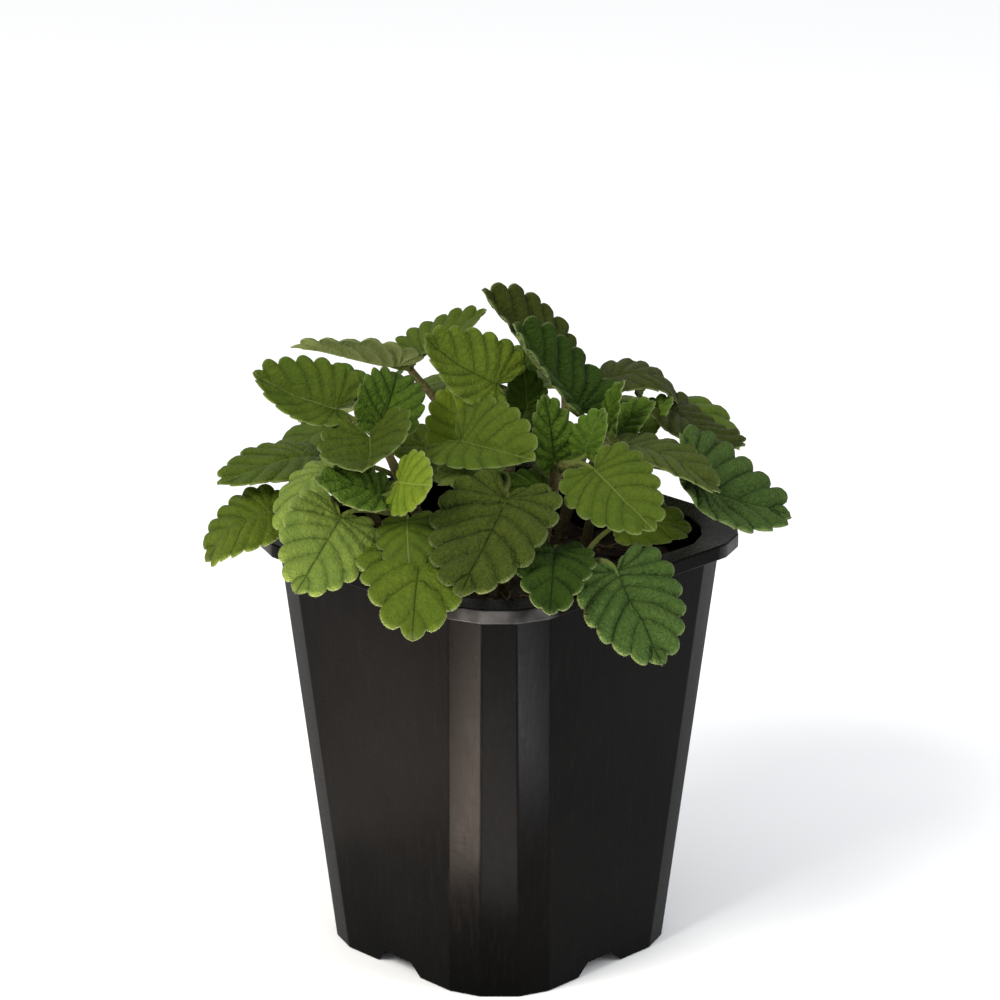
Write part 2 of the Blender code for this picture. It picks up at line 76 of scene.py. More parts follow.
POT_EDGE_ROUNDING = 0.55
POT_ROUNDED_ANGLE = 10  # degrees, as the next one
POT_SHARP_ANGLE = 5

# Soil
SOIL_LEVEL = 114.0
SOIL_BUMP = 1.3
SOIL_EDGE_SLUMP = 1.5
SOIL_CLEARANCE = 0.6
SOIL_SLUMP_POWER = 6
SOIL_BASE_GAP = 0.3
SOIL_CRUMB = 0.9
SOIL_RINGS = 42
SOIL_SIDES = 144
SOIL_SEED = 7

# Litter on the soil; a spread is the squared share of the way to the edge
LITTER_SEED = 11
CHIP_COUNT = 420
CHIP_SPREAD = (0, 0.93)
CHIP_SIZE = (0.8, 3.2)
CHIP_PROPORTIONS = ((0.9, 2.0), (0.6, 1.0), (0.3, 0.6))
CHIP_EDGE_SIZE = 0.3
CHIP_EDGE_GROWTH = 8
CHIP_RISE = 0.25
CHIP_ROUGHNESS = 0.22
CHIP_SPIN = 6.28
CHIP_TILT = 0.4
FIBRE_COUNT = 70
FIBRE_SPREAD = (0.05, 0.85)
FIBRE_LENGTH = (4, 12)
FIBRE_BOW = 0.3
FIBRE_LIFT = (0.2, 2.5)
FIBRE_RADIUS = (0.12, 0.3)
FIBRE_CLEARANCE = 1.5
FIBRE_RISE = 0.5
FIBRE_POINTS = 6
FIBRE_SIDES = 5
BARK_COLOURS = np.array(((0.045, 0.028, 0.016), (0.09, 0.055, 0.03),
                         (0.025, 0.017, 0.012), (0.15, 0.10, 0.06)))
BARK_SHADES = (0.7, 1.2)
STRAW_COLOUR = np.array((0.30, 0.20, 0.11))
STRAW_SHADES = (0.4, 1.1)

# Stems and stalks
STEM_RADII = (1.7, 1.1)  # at its foot and at its end
STEM_ROOT = 8.0
STEM_SLIMMING = 0.92  # the fine stem against the solid one
STEM_SIDES = 12
STEM_SQUARENESS = 0.12
STEM_STEPS = 8  # curve steps between two points of a stem's path
START_STEPS = 3  # the solids' curve steps, at which the stalks start
STALK_RADII = (1.0, 0.7)
STALK_SLIMMING = 0.9
STALK_END_SLIMMING = 0.5
STALK_BEND = 0.45
STALK_BEND_MOST = 6.0
STALK_POINTS = 9
STALK_SINK = 0.6
STALK_REACH = 0.08
TUBE_HELPER = (0.0, 1.0, 0.3)  # any way that no stem follows

# Leaf margin
TOOTH_DEPTH = 0.072
TOOTH_ROUNDNESS = 0.55
TOOTH_FADE = 0.3
TOOTH_VARIETY = 0.18
TOOTH_LEAN = 1.25
OUTLINE_STEP = 0.001
OUTLINE_STEPS = 24
SAMPLES_PER_TOOTH = 8
MARGIN_DROOP = 0.06
MARGIN_WAVE = 0.30
MARGIN_WAVE_FADE = 0.2
RIM_POWER = 4

# Leaf blade
BLADE_THICKNESS = 0.4
EDGE_THICKNESS = 0.45  # share of the thickness at the margin
EDGE_REACH = 0.8
WELD_DISTANCE = 0.004
LEAF_SPREAD = 37.0  # keeps the patterns of two leaves apart
GROWN_LENGTH = 25  # a shorter leaf is less crinkled
BLADE_WAVES = ((0.028, 5.2, 4.0), (0.012, 13, 11))  # height by leaf width, waves along and across
RELIEF_FADE = 1.1
LEAST_RELIEF = 0.2
Swelling = namedtuple("Swelling", "height reach power")
QUILT = Swelling(1.0, 1.5, 1.2)  # the panels between the side veins
NET = Swelling(0.24, 0.75, 1.5)
GROOVE_DEPTH = 0.2
GROOVE_WIDTH = 0.28
GROOVE_WIDENING = 0.22
VEIN_BULGE = 0.25  # how far a vein stands out below

# Leaf veins: the side veins follow curved rays from the midrib to the teeth
RAY_STEPS = 22
LEVEL_POWER = 0.85
VEIN_SLOPE = 1.05  # how far a side vein climbs towards the tip for 1 mm outwards
RAY_START_POWER = 1.5
RAY_BEND_ALONG = 0.35
RAY_BEND_ACROSS = 0.2
MIDRIB_END = 0.97
MIDRIB_POINTS = 14
MIDRIB_END_STRENGTH = 0.55
MAIN_VEIN_STRENGTH = 0.85
BRANCH_VEIN_STRENGTH = 0.35
VEIN_END_STRENGTH = 0.45
NET_STRENGTH = 0.6
SIDE_VEIN_PLACES = np.linspace(0, 0.99, 9)  # shares of the way from the midrib to the margin
TOOTH_VEIN_PLACES = np.linspace(0.55, 0.95, 4)
CROSS_VEIN_PLACES = (0.3, 0.46, 0.62, 0.77, 0.9)
CROSS_VEIN_SHIFT = 0.05

# Limits of divisions and searches
TINY_MM = 0.01
NO_LENGTH = 1e-9
FAR_AWAY = 1e9
EDGE_SLACK = 1e-6

HALF_OUTLINE = (
    (0.00, 0.00), (-0.09, 0.09), (-0.15, 0.22), (-0.12, 0.37), (0.03, 0.47), (0.22, 0.50),
    (0.45, 0.465), (0.65, 0.385), (0.82, 0.28), (0.95, 0.15), (1.00, 0.00),
)

# Leaf colours, linear; partly the leaves' own tones and partly painted light, as leaves that lie in shade get
# lighter colours
LEAF_COLOURS = {
    "fresh": (0.056, 0.084, 0.007),
    "mid": (0.044, 0.066, 0.005),
    "light": (0.132, 0.180, 0.032),
    "lime": (0.118, 0.165, 0.012),
    "bright": (0.070, 0.100, 0.008),
    "pale": (0.046, 0.062, 0.008),
    "deep": (0.027, 0.036, 0.003),
    "dark": (0.022, 0.046, 0.003),
    "olive": (0.048, 0.066, 0.008),
    "blue": (0.050, 0.088, 0.018),
    "young": (0.055, 0.098, 0.009),
}
CRINKLE = {"young": 1.6, "blue": 1.3, "olive": 1.25, "dark": 1.1, "light": 0.87, "fresh": 0.75, "mid": 0.8}
PLAIN_CRINKLE = 0.9
ROUGH_PER_CRINKLE = 0.5
TINT_SPREAD = (0.92, 1.08)
VALLEY_PAINTED_SHADE = 0.84  # painted shade that darkens the colour in the valleys, and painted light that lightens it on the crests
CREST_PAINTED_LIGHT = 1.06
MARGIN_BAND = 0.24
MARGIN_POWER = 1.5
# Stem colours at the foot and at the end: partly the stem's own colour, partly painted shade for the dark
# gaps between the leaves
STEM_COLOURS_AND_SHADE = ((0.065, 0.046, 0.024), (0.14, 0.125, 0.05))
STALK_COLOUR = (0.115, 0.125, 0.035)
STALK_END_LIGHTNESS = 1.5

# Marks that the leaf material reads: nearness to a vein, nearness to the margin, underside, hair
PLAIN_MARKS = (0.0, 0.0, 0.0, 0.0)
HAIR_MARKS = (0.0, 0.0, 0.0, 1.0)
STEM_MARKS = (0.0, 0.0, 0.0, 0.5)
OFF_THE_VEINS = (9.5, 9.0, 9.0)

# Hairs
Hair = namedtuple("Hair", "shortest longest width scatter colour")
MARGIN_HAIR = Hair(0.25, 0.6, 0.055, 0.45, (0.25, 0.29, 0.13))
FACE_HAIR = Hair(0.25, 0.5, 0.045, 0.55, (0.14, 0.18, 0.035))
STEM_HAIR = Hair(0.3, 0.7, 0.05, 0.4, (0.14, 0.18, 0.035))
MARGIN_HAIR_SPACING = 0.33
MARGIN_HAIR_RANGE = (0.02, 0.995)
FACE_HAIRS_PER_MM = 2.2
STEM_HAIRS_PER_MM = 3.0
STALK_HAIRS_PER_MM = 4.0
HAIR_SINK = 0.05
FACE_HAIR_RISE = 0.3

# Leaf material; a line is its full and vanishing distance from the vein in millimetres, and its strength
SWAY_SCALE = 0.35
VEIN_SWAY = 0.10
BROAD_SCALE = 0.10
PATCH_SCALE = 0.45
GRAIN_SCALE = 3.2
GLAND_SCALE = 1.6
BEND = (1.1, 0.9)  # scale and reach of the noise that bends the net
CELL_SCALE = 0.52
SMALL_CELL_SCALE = 1.25
MAIN_LINE = (0.07, 0.22, 0.85)
BRANCH_LINE = (0.05, 0.16, 0.55)
MIDRIB_LINE = (0.12, 0.30, 0.9)
SMOOTH_LEAF = (0.40, 0.43, 0.85)  # roughness of a leaf with a pale midrib, and of one without
FAINTER_WHEN_SMOOTH = 0.35
GROOVE_TINT = 0.2
BROAD_SHADE = (0.62, 0.74, 0.68)
PATCH_LIGHT = (1.5, 1.35, 1.1)
NET_SHADE = (0.5, 0.6, 0.5)
GRAIN_LIGHT = (1.6, 1.6, 1.6)
DARK_VEIN = (0.42, 0.50, 0.42)
PALE_VEIN = (0.30, 0.33, 0.15)
LIGHT_MIDRIB = (1.8, 1.7, 1.6)
UNDERSIDE_LIGHT = (1.5, 1.45, 1.4)
UNDERSIDE_COLOUR = (0.38, 0.46, 0.17)
GLAND_COLOUR = (0.19, 0.23, 0.06)
MARGIN_COLOUR = (0.19, 0.23, 0.09)
LEAF_BUMP = (0.9, 0.00050)

# Soil and pot materials
SOIL_COLOURS = ((0.010, 0.007, 0.005), (0.045, 0.028, 0.017))
SOIL_GRAIN = (1.9, 1.8, 1.7)
CHIP_SHADE = (0.55, 0.55, 0.55)
SOIL_BUMPS = (0.9, 0.0008)
PLASTIC_COLOURS = ((0.0012, 0.0011, 0.0010), (0.0026, 0.0022, 0.0020))
STREAK_COLOUR = (0.009, 0.0075, 0.0062)
SPECK_COLOUR = (0.022, 0.018, 0.015)
STREAK_STRETCH = (900.0, 900.0, 14.0)
SCUFF_STRETCH = (260.0, 260.0, 900.0)
# Painted highlight: a lighter colour on the outer face of the rim
RIM_HIGHLIGHT_COLOUR = (0.055, 0.054, 0.053)
RIM_HIGHLIGHT_HEIGHT = (0.1234, 0.1240)  # in metres, as the radius
RIM_HIGHLIGHT_RADIUS = (0.0655, 0.0685)
RIM_HIGHLIGHT_SLOPE = (0.2, 0.6)
POT_BUMP = (0.25, 0.00012)
MIX_INPUTS = (6, 7)  # the colour sockets of a Mix node
MIX_OUTPUT = 2

# Camera, fitted to the pot's corners in the photo
CAMERA_PLACE = (0.2, -1187.0, 540.6)
CAMERA_PITCH = 18.8  # degrees below level
CAMERA_LENS = 154.5

# Stage
FLOOR_HALF = 4000.0
FLOOR_LEVEL = -0.05
FLOOR_COLOURS = ((0.92, 0.92, 0.92), (0.94, 0.94, 0.94))
PLANT_MIDDLE = 0.12  # metres, where the softboxes point
GLOW_HEIGHT = 0.004  # metres

Leaf = namedtuple("Leaf", "at base tip width roll fold arch teeth colour")
Stem = namedtuple("Stem", "name path leaves")

STEMS = (
    Stem("leafy_stem_top_left", ((-5, 10, 114), (-7, 13, 135), (-15, 17, 156), (-26, 20, 170)), (
        Leaf(1.0, (-29.5, 21, 171), (-59, 18, 177), 30, -25, 18, 0, 8, "fresh"),
        Leaf(1.0, (-23, 27, 173), (-5, 35, 183), 26, 5, 22, -1, 8, "fresh"),
        Leaf(0.4, (-14, 22, 140), (-36, 30, 146), 24, 10, 10, 2, 6, "bright"),
    )),
    Stem("leafy_stem_top", ((10, 8, 114), (13, 10, 132), (19, 14, 156), (19, 18, 168)), (
        Leaf(1.0, (15, 30, 168), (-4, 27, 191), 29, 27, 28, 0, 8, "deep"),
        Leaf(0.8, (23, 11, 160), (5, 12, 185), 33, 14, 33, -2, 8, "dark"),
        Leaf(0.4, (9, 22, 144), (6, 40, 158), 22, 0, 10, 2, 6, "fresh"),
    )),
    Stem("leafy_stem_right", ((24, 2, 114), (26, 2, 126), (29, 3, 142), (30, 3, 151)), (
        Leaf(0.9, (55, -5, 146), (83, 1, 131), 33, -29, 19, -2, 8, "blue"),
        Leaf(1.0, (35, -7, 155), (62, -16, 145), 27, 4, 10, 3, 8, "pale"),
        Leaf(1.0, (35, 12, 152), (45, 13, 162), 15, -20, 15, 1, 7, "young"),
        Leaf(1.0, (33, 3, 158), (36, 4, 171), 12, 0, 15, 1, 6, "young"),
    )),
    Stem("leafy_stem_right_back", ((17, 18, 114), (21, 23, 130), (28, 29, 150), (31, 31, 158)), (
        Leaf(1.0, (33, 37, 162), (53, 39, 155), 24, -4, 8, 4, 7, "deep"),
        Leaf(0.9, (51, 33, 154), (71, 22, 146), 25, 4, 7, -2, 8, "deep"),
        Leaf(0.7, (43, 28, 149), (51, 30, 158), 12, -20, 15, 1, 6, "young"),
    )),
    Stem("leafy_stem_left", ((-17, -3, 114), (-22, -4, 128), (-30, -8, 148), (-33, -10, 158)), (
        Leaf(0.9, (-47, -2, 165), (-70, 1, 174), 26, 31, 30, -2, 8, "fresh"),
        Leaf(0.8, (-37, -17, 161), (-38, -43, 159), 28, -15, 27, -2, 7, "mid"),
        Leaf(1.0, (-34, -9, 162), (-30, 5, 173), 21, -24, 30, 4, 7, "young"),
    )),
    Stem("leafy_stem_far_left", ((-27, 5, 114), (-34, 4, 126), (-44, 0, 141), (-47, 0, 148)), (
        Leaf(1.0, (-53, 9, 146), (-80, -3, 143), 31, 2, 6, 2, 8, "fresh"),
        Leaf(0.8, (-66, -12, 137), (-84.5, -13, 123.5), 25, 22, 6, 3, 8, "bright"),
        Leaf(0.8, (-49, -18, 152), (-62, -28, 136), 23, -10, 4, 3, 7, "light"),
    )),
    Stem("leafy_stem_front_left", ((-15, -20, 114), (-19, -26, 126), (-27, -34, 143), (-30, -37, 152)), (
        Leaf(0.7, (-45, -38, 144), (-56.5, -56, 129), 26, 38, 8, 2, 8, "light"),
        Leaf(1.0, (-33, -38, 151), (-51, -39, 156), 21, 14, 9, 0, 7, "young"),
        Leaf(1.0, (-28, -42, 156), (-19, -54, 159), 18, -60, 6, 0, 6, "lime"),
        Leaf(0.7, (-26, -41, 144), (-25, -56, 134), 16, -12, 4, 1, 6, "fresh"),
        Leaf(0.35, (-21.5, -42, 137), (-24, -74, 123), 31, 0, 6, 4, 7, "bright"),
    )),
    Stem("leafy_stem_front", ((1, -20, 114), (2, -24, 128), (3, -31, 143), (1, -34, 149)), (
        Leaf(0.9, (2, -40, 150.5), (-10, -67, 132.2), 32, 5, 12, 0, 8, "olive"),
        # painted light: this leaf lies in shade and gets the lightest colour
        Leaf(1.0, (-1, -18, 151), (-18, -18, 149), 18, 20, 11, 2, 6, "light"),
        Leaf(0.7, (13, -20, 147), (0, -24, 147), 13, 25, 10, 1, 6, "young"),
    )),
    Stem("leafy_stem_middle", ((-3, -4, 114), (-4, -5, 130), (-5, -5, 148), (-3, -2, 160)), (
        Leaf(1.0, (-1, 5, 170), (-21, 8, 183), 27, 33, 26, -2, 8, "bright"),
        Leaf(0.8, (-11, -11, 158), (9, -31, 159), 28, -33, 30, 0, 8, "fresh"),
        # painted light: this leaf lies in shade and gets a lighter colour
        Leaf(0.7, (-10, 2, 152), (-14, 13, 167), 19, 10, 5, 1, 7, "lime"),
        Leaf(1.0, (8, 14, 160), (7, 18, 171), 12, 0, 10, 1, 6, "young"),
    )),
    Stem("leafy_stem_front_right", ((11, -10, 114), (13, -13, 128), (16, -18, 146), (18, -19, 154)), (
        Leaf(0.9, (27, -34, 157), (42.5, -47.5, 144.5), 25, -27, 9, 0, 8, "fresh"),
        Leaf(1.0, (16, -15, 153), (13, -10, 171), 14, 8, 28, 0, 7, "young"),
        Leaf(1.0, (25, -17, 157), (30, -13, 168), 12, -10, 20, 1, 6, "young"),
    )),
    Stem("leafy_stem_low_right", ((18, -25, 114), (20, -31, 123), (22, -36, 129)), (
        Leaf(1.0, (33, -52, 133), (44.5, -65.5, 111.4), 29, -14, 10, 0, 8, "blue"),
        Leaf(1.0, (15.5, -46.5, 137.4), (14, -74, 129), 20, 6, 12, 2, 7, "dark"),
        Leaf(0.6, (36, -9, 132), (55, -6, 130), 19, -26, 12, 1, 5, "bright"),
    )),
    Stem("leafy_stem_back_left", ((-20, 23, 114), (-26, 30, 126), (-36, 42, 142), (-40, 48, 150)), (
        Leaf(0.9, (-48, 42, 146), (-68, 36, 134), 25, 0, 8, 2, 5, "fresh"),
        Leaf(0.9, (-43, 57, 148), (-55.5, 74, 134), 26, 0, 8, 2, 5, "fresh"),
        Leaf(0.5, (-43, 32, 137), (-66, 44, 131), 24, 0, 5, 1, 4, "fresh"),
        Leaf(0.5, (-26, 46, 139), (-27, 72, 131), 24, 0, 8, 2, 4, "fresh"),
        Leaf(1.0, (-42, 50, 152), (-52, 56, 160), 14, 0, 20, 1, 4, "young"),
        Leaf(1.0, (-38, 48, 152), (-30, 40, 162), 14, 0, 20, 1, 4, "young"),
    )),
    Stem("leafy_stem_back", ((2, 26, 114), (3, 34, 128), (4, 46, 146), (5, 52, 156)), (
        Leaf(0.9, (-3, 54, 155), (-28, 62, 150), 26, 0, 8, 2, 5, "fresh"),
        Leaf(0.9, (12, 55, 155.5), (31.5, 70, 147), 25, 0, 8, 2, 5, "fresh"),
        Leaf(0.5, (5, 48, 140), (4, 74.5, 130), 26, 0, 8, 2, 4, "deep"),
        Leaf(1.0, (4, 50, 158), (-4, 46, 170), 14, 0, 20, 1, 4, "young"),
        Leaf(1.0, (7, 54, 158), (14, 60, 168), 14, 0, 20, 1, 4, "young"),
    )),
    Stem("leafy_stem_back_right", ((18, 32, 114), (24, 38, 128), (36, 47, 143), (44, 52, 150)), (
        Leaf(0.9, (51, 47.6, 150), (71, 37.6, 141), 24, 0, 8, 2, 5, "fresh"),
        Leaf(0.9, (46, 58, 147.5), (54, 74.8, 136.5), 23, 0, 8, 2, 5, "fresh"),
        Leaf(0.5, (29, 50, 135), (25, 74.5, 130), 25, 0, 8, 2, 4, "deep"),
        Leaf(1.0, (42, 53, 153), (38, 54, 162), 13, 0, 20, 1, 4, "young"),
    )),
)


def smooth_path(points, steps):
    """Catmull-Rom curve through the points."""
    knots = np.array(points, float)
    ends = np.vstack([2 * knots[0] - knots[1], knots, 2 * knots[-1] - knots[-2]])
    path = []
    for p0, p1, p2, p3 in zip(ends, ends[1:], ends[2:], ends[3:]):
        for t in np.arange(steps) / steps:
            path.append(0.5 * (2 * p1 + (p2 - p0) * t + (2 * p0 - 5 * p1 + 4 * p2 - p3) * t ** 2
                               + (3 * p1 - p0 - 3 * p2 + p3) * t ** 3))
    path.append(knots[-1])
    return np.array(path)


def unit(rows):
    """Each row at length 1."""
    return rows / np.linalg.norm(rows, axis=1)[:, None]


def rows_at(places, known, rows):
    """The rows between the known places."""
    return np.column_stack([np.interp(places, known, column) for column in rows.T])


def run_along(path):
    """Way from the path's start to each of its points."""
    return np.concatenate([[0.0], np.cumsum(np.linalg.norm(np.diff(path, axis=0), axis=1))])


def ring_faces(levels, count):
    """Four-sided faces between rings of points that follow each other."""
    faces = []
    for level in range(levels - 1):
        for k in range(count):
            a, b = level * count + k, level * count + (k + 1) % count
            faces.append((a, b, b + count, a + count))
    return faces


def outline_at(shares):
    fine = smooth_path([(a, b, 0.0) for a, b in HALF_OUTLINE], OUTLINE_STEPS)[:, :2]
    run = run_along(fine)
    return rows_at(shares, run / run[-1], fine)


def leaf_length(leaf):
    return math.dist(leaf.base, leaf.tip)


def tooth_count(leaf):
    """Teeth on half a margin, with the half tooth at the tip."""
    return leaf.teeth + 0.5


def leaf_frame(leaf):
    """Base point and unit vectors along the midrib, to the side and out of the upper face."""
    base, tip = np.array(leaf.base, float), np.array(leaf.tip, float)
    along = (tip - base) / np.linalg.norm(tip - base)
    flat = np.array((0.0, 0.0, 1.0))
    flat -= along * along[2]
    flat /= np.linalg.norm(flat)
    level = np.cross(flat, along)
    roll = math.radians(leaf.roll)
    upper = flat * math.cos(roll) + level * math.sin(roll)
    side = level * math.cos(roll) - flat * math.sin(roll)
    return base, along, side, upper


def on_blade(leaf, along_mm, side_mm):
    """Points of the arched, folded blade."""
    base, along, side, upper = leaf_frame(leaf)
    share = along_mm / leaf_length(leaf)
    fold = math.radians(leaf.fold)
    rise = np.abs(side_mm) * math.sin(fold) + 4 * leaf.arch * share * (1 - share)
    rise = rise - MARGIN_DROOP * leaf.width * (2 * np.abs(side_mm) / leaf.width) ** 2
    return (base + np.multiply.outer(along_mm, along) + np.multiply.outer(side_mm * math.cos(fold), side)
            + np.multiply.outer(rise, upper))


def toothed_margin(leaf, shares, rng):
    """Half margin in millimetres: (along the midrib, to the side)."""
    count = tooth_count(leaf)
    size = np.array([leaf_length(leaf), leaf.width])
    ahead, behind = np.minimum(shares + OUTLINE_STEP, 1), np.maximum(shares - OUTLINE_STEP, 0)
    run = unit((outline_at(ahead) - outline_at(behind)) * size)
    outwards = np.column_stack([-run[:, 1], run[:, 0]])
    tooth = np.minimum((shares * count).astype(int), leaf.teeth)
    variety = 1 + TOOTH_VARIETY * rng.uniform(-1, 1, leaf.teeth + 1)
    phase = np.mod(count * shares, 1.0) ** TOOTH_LEAN
    rise = np.abs(np.sin(np.pi * phase)) ** TOOTH_ROUNDNESS * variety[tooth]
    rise *= TOOTH_DEPTH * leaf_length(leaf) * np.minimum(1.0, shares / TOOTH_FADE)
    half = outline_at(shares) * size + outwards * rise[:, None]
    half[:, 1] = np.maximum(half[:, 1], 0.0)
    half[-1, 1] = 0.0
    return half


def ray_points(leaf, margin, r):
    """Points at share r of the curved rays from the midrib to the margin, as the side veins run."""
    far = np.clip(margin[:, 0], 0, None)
    start = far * (far / (far + VEIN_SLOPE * margin[:, 1] + TINY_MM)) ** RAY_START_POWER
    x = start + (margin[:, 0] - start) * (r + RAY_BEND_ALONG * r * (r - 1))
    y = margin[:, 1] * (r + RAY_BEND_ACROSS * r * (1 - r))
    return np.column_stack([x, y])


def distance_to_lines(points, starts, ends, weights):
    """For each point the smallest distance to a weighted segment, and that segment's weight."""
    way = ends - starts
    length2 = np.maximum((way ** 2).sum(1), NO_LENGTH)
    best = np.full(len(points), FAR_AWAY)
    weight = np.zeros(len(points))
    for start, step, square, strong in zip(starts, way, length2, weights):
        t = np.clip(((points - start) @ step) / square, 0, 1)
        reach = np.linalg.norm(points - start - t[:, None] * step, axis=1) / (0.5 + 0.5 * strong)
        closer = reach < best
        best[closer] = reach[closer]
        weight[closer] = strong
    return best, weight


def joined(lines):
    """Starts, ends and strengths of all the segments."""
    starts = np.vstack([line[:-1] for line, _ in lines])
    ends = np.vstack([line[1:] for line, _ in lines])
    return starts, ends, np.concatenate([weights for _, weights in lines])


def ray(leaf, shares, margin, share, places):
    """Points at the given places of the ray that meets the margin at one share of its length."""
    spot = rows_at([share], shares, margin)
    return np.vstack([ray_points(leaf, spot, place) for place in places])


def ray_marks(leaf, flat, shares):
    """For each point: the number of its side vein, the gap to the next vein, and the way to the midrib."""
    number = np.broadcast_to(shares * tooth_count(leaf), flat.shape[:2])
    step = np.linalg.norm(np.gradient(flat, axis=1), axis=2) / np.gradient(number, axis=1)
    return np.stack([number, step, np.abs(flat[:, :, 1])], axis=2)


def vein_lines(leaf, margins):
    """Segments of the midrib and the side veins in the flat leaf, with a strength from 0 to 1."""
    count = tooth_count(leaf)
    xs = np.linspace(0, leaf_length(leaf) * MIDRIB_END, MIDRIB_POINTS)
    midrib = np.column_stack([xs, np.zeros(MIDRIB_POINTS)])
    lines = [(midrib, np.linspace(1.0, MIDRIB_END_STRENGTH, MIDRIB_POINTS - 1))]
    for sign, (shares, margin) in zip((1, -1), margins):
        for tooth in range(1, leaf.teeth + 1):
            line = ray(leaf, shares, margin, tooth / count, SIDE_VEIN_PLACES)
            strong = MAIN_VEIN_STRENGTH if tooth % 2 == 0 else BRANCH_VEIN_STRENGTH
            fade = np.linspace(strong, strong * VEIN_END_STRENGTH, len(line) - 1)
            lines.append((line * (1, sign), fade))
    return joined(lines)


def net_lines(leaf, margins, rng):
    """Segments of the finer veins: one up the middle of each tooth and steps between the side veins."""
    count = tooth_count(leaf)
    lines = []
    for sign, (shares, margin) in zip((1, -1), margins):
        for tooth in range(1, leaf.teeth + 1):
            middle = ray(leaf, shares, margin, min(1.0, (tooth + 0.5) / count), TOOTH_VEIN_PLACES)
            lines.append((middle * (1, sign), np.full(len(middle) - 1, NET_STRENGTH)))
            for place in CROSS_VEIN_PLACES:
                shifts = place + rng.uniform(-CROSS_VEIN_SHIFT, CROSS_VEIN_SHIFT, 3)
                step = np.vstack([ray(leaf, shares, margin, min(1.0, (tooth + part) / count), [shift])
                                  for part, shift in zip((0.0, 0.5, 1.0), shifts)])
                lines.append((step * (1, sign), np.full(2, NET_STRENGTH)))
    return joined(lines)


class Patch:
    """Points, faces and the marks that the materials read, gathered for one object."""

    def __init__(self):
        self.points, self.faces, self.tints, self.marks, self.flats, self.rays = [], [], [], [], [], []
        self.count = 0

    def add(self, points, faces, tint, marks, flat=None, rays=OFF_THE_VEINS, rough=0.5):
        points = np.asarray(points, float)
        n = len(points)
        self.points.append(points)
        self.faces.extend([tuple(int(k) + self.count for k in face) for face in faces])
        colours = np.broadcast_to(np.asarray(tint, float), (n, 3))
        self.tints.append(np.column_stack([colours, np.full(n, rough)]))
        self.marks.append(np.broadcast_to(np.asarray(marks, float), (n, 4)))
        self.flats.append(points if flat is None else flat)
        self.rays.append(np.broadcast_to(np.asarray(rays, float), (n, 3)))
        self.count += n

    def object(self, name, material):
        mesh = bpy.data.meshes.new(name)
        mesh.from_pydata((np.vstack(self.points) * MM).tolist(), [], self.faces)
        for label, kind, field, rows in (("tint", "FLOAT_COLOR", "color", self.tints),
                                         ("marks", "FLOAT_COLOR", "color", self.marks),
                                         ("flat", "FLOAT_VECTOR", "vector", self.flats),
                                         ("rays", "FLOAT_VECTOR", "vector", self.rays)):
            values = np.vstack(rows).ravel()
            mesh.attributes.new(label, kind, "POINT").data.foreach_set(field, values)
        mesh.update()
        mesh.shade_smooth()
        mesh.materials.append(material)
        return linked(name, mesh)


def add_hairs(patch, roots, ahead, hair, rng):
    """Closed three-sided spikes that point roughly ahead, each turned and sized by chance."""
    n = len(roots)
    ways = unit(ahead + hair.scatter * rng.normal(size=(n, 3)))
    ways = ways * rng.uniform(hair.shortest, hair.longest, n)[:, None]
    ahead = unit(ways)
    helper = np.where(np.abs(ahead[:, 2:3]) < 0.8, (0.0, 0.0, 1.0), (1.0, 0.0, 0.0))
    a = unit(np.cross(ahead, helper))
    b = np.cross(ahead, a)
    points = np.empty((n, 4, 3))
    for k in range(3):
        turn = 2 * math.pi * k / 3
        points[:, k] = roots + (a * math.cos(turn) + b * math.sin(turn)) * hair.width / 2
    points[:, 3] = roots + ways
    index = np.arange(n)[:, None] * 4
    faces = np.vstack([index + f for f in ((0, 1, 3), (1, 2, 3), (2, 0, 3), (0, 2, 1))])
    patch.add(points.reshape(-1, 3), faces, hair.colour, HAIR_MARKS)


def leaf_grid(leaf, margins, levels):
    """Flat points, ways to the margin and ray marks, for one half of the blade after the other."""
    flats, edges, rays = [], [], []
    for sign, (shares, margin) in zip((1, -1), margins):
        flat = np.stack([ray_points(leaf, margin, r) for r in levels])
        edges.append(np.linalg.norm(flat - margin, axis=2).reshape(-1))
        flat = flat * (1, sign)
        flats.append(flat.reshape(-1, 2))
        rays.append(ray_marks(leaf, flat, shares).reshape(-1, 3))
    return np.concatenate(flats), np.concatenate(edges), np.concatenate(rays)


def swell(spacing, kind):
    """Height of a panel at a distance from the veins around it."""
    return kind.height * (1 - np.exp(-(spacing / kind.reach) ** kind.power))


def panels_and_grooves(flat, veins, net):
    """How deep the veins lie and how far the panels between them stand out."""
    spacing, strong = distance_to_lines(flat, *veins)
    net_spacing, _ = distance_to_lines(flat, *net)
    groove = strong * np.exp(-(spacing / (GROOVE_WIDTH + GROOVE_WIDENING * strong)) ** 2)
    return swell(spacing, QUILT) + swell(net_spacing, NET), groove


def blade_relief(leaf, flat, edge, quilt, groove, waves, crinkle):
    """Distance of the crinkled surface from the plain blade, before the margin's own waves."""
    x, y = flat[:, 0] / leaf_length(leaf), flat[:, 1] / leaf.width
    relief = crinkle * (quilt - GROOVE_DEPTH * groove) * np.clip(edge / RELIEF_FADE, LEAST_RELIEF, 1)
    for (height, along, across), (first, second) in zip(BLADE_WAVES, waves):
        relief += height * leaf.width * np.sin(along * x + first) * np.sin(across * y + second) * crinkle
    return relief


def margin_waves(leaf, shares, levels, crinkle):
    """Up and down of the margin from tooth to tooth."""
    tooth_phase = np.tile(np.cos(2 * np.pi * tooth_count(leaf) * shares), 2 * len(levels))
    rim = np.tile(np.repeat(levels, len(shares)), 2) ** RIM_POWER
    fade = np.minimum(1, np.tile(shares, 2 * len(levels)) / MARGIN_WAVE_FADE)
    return MARGIN_WAVE * crinkle * rim * tooth_phase * fade


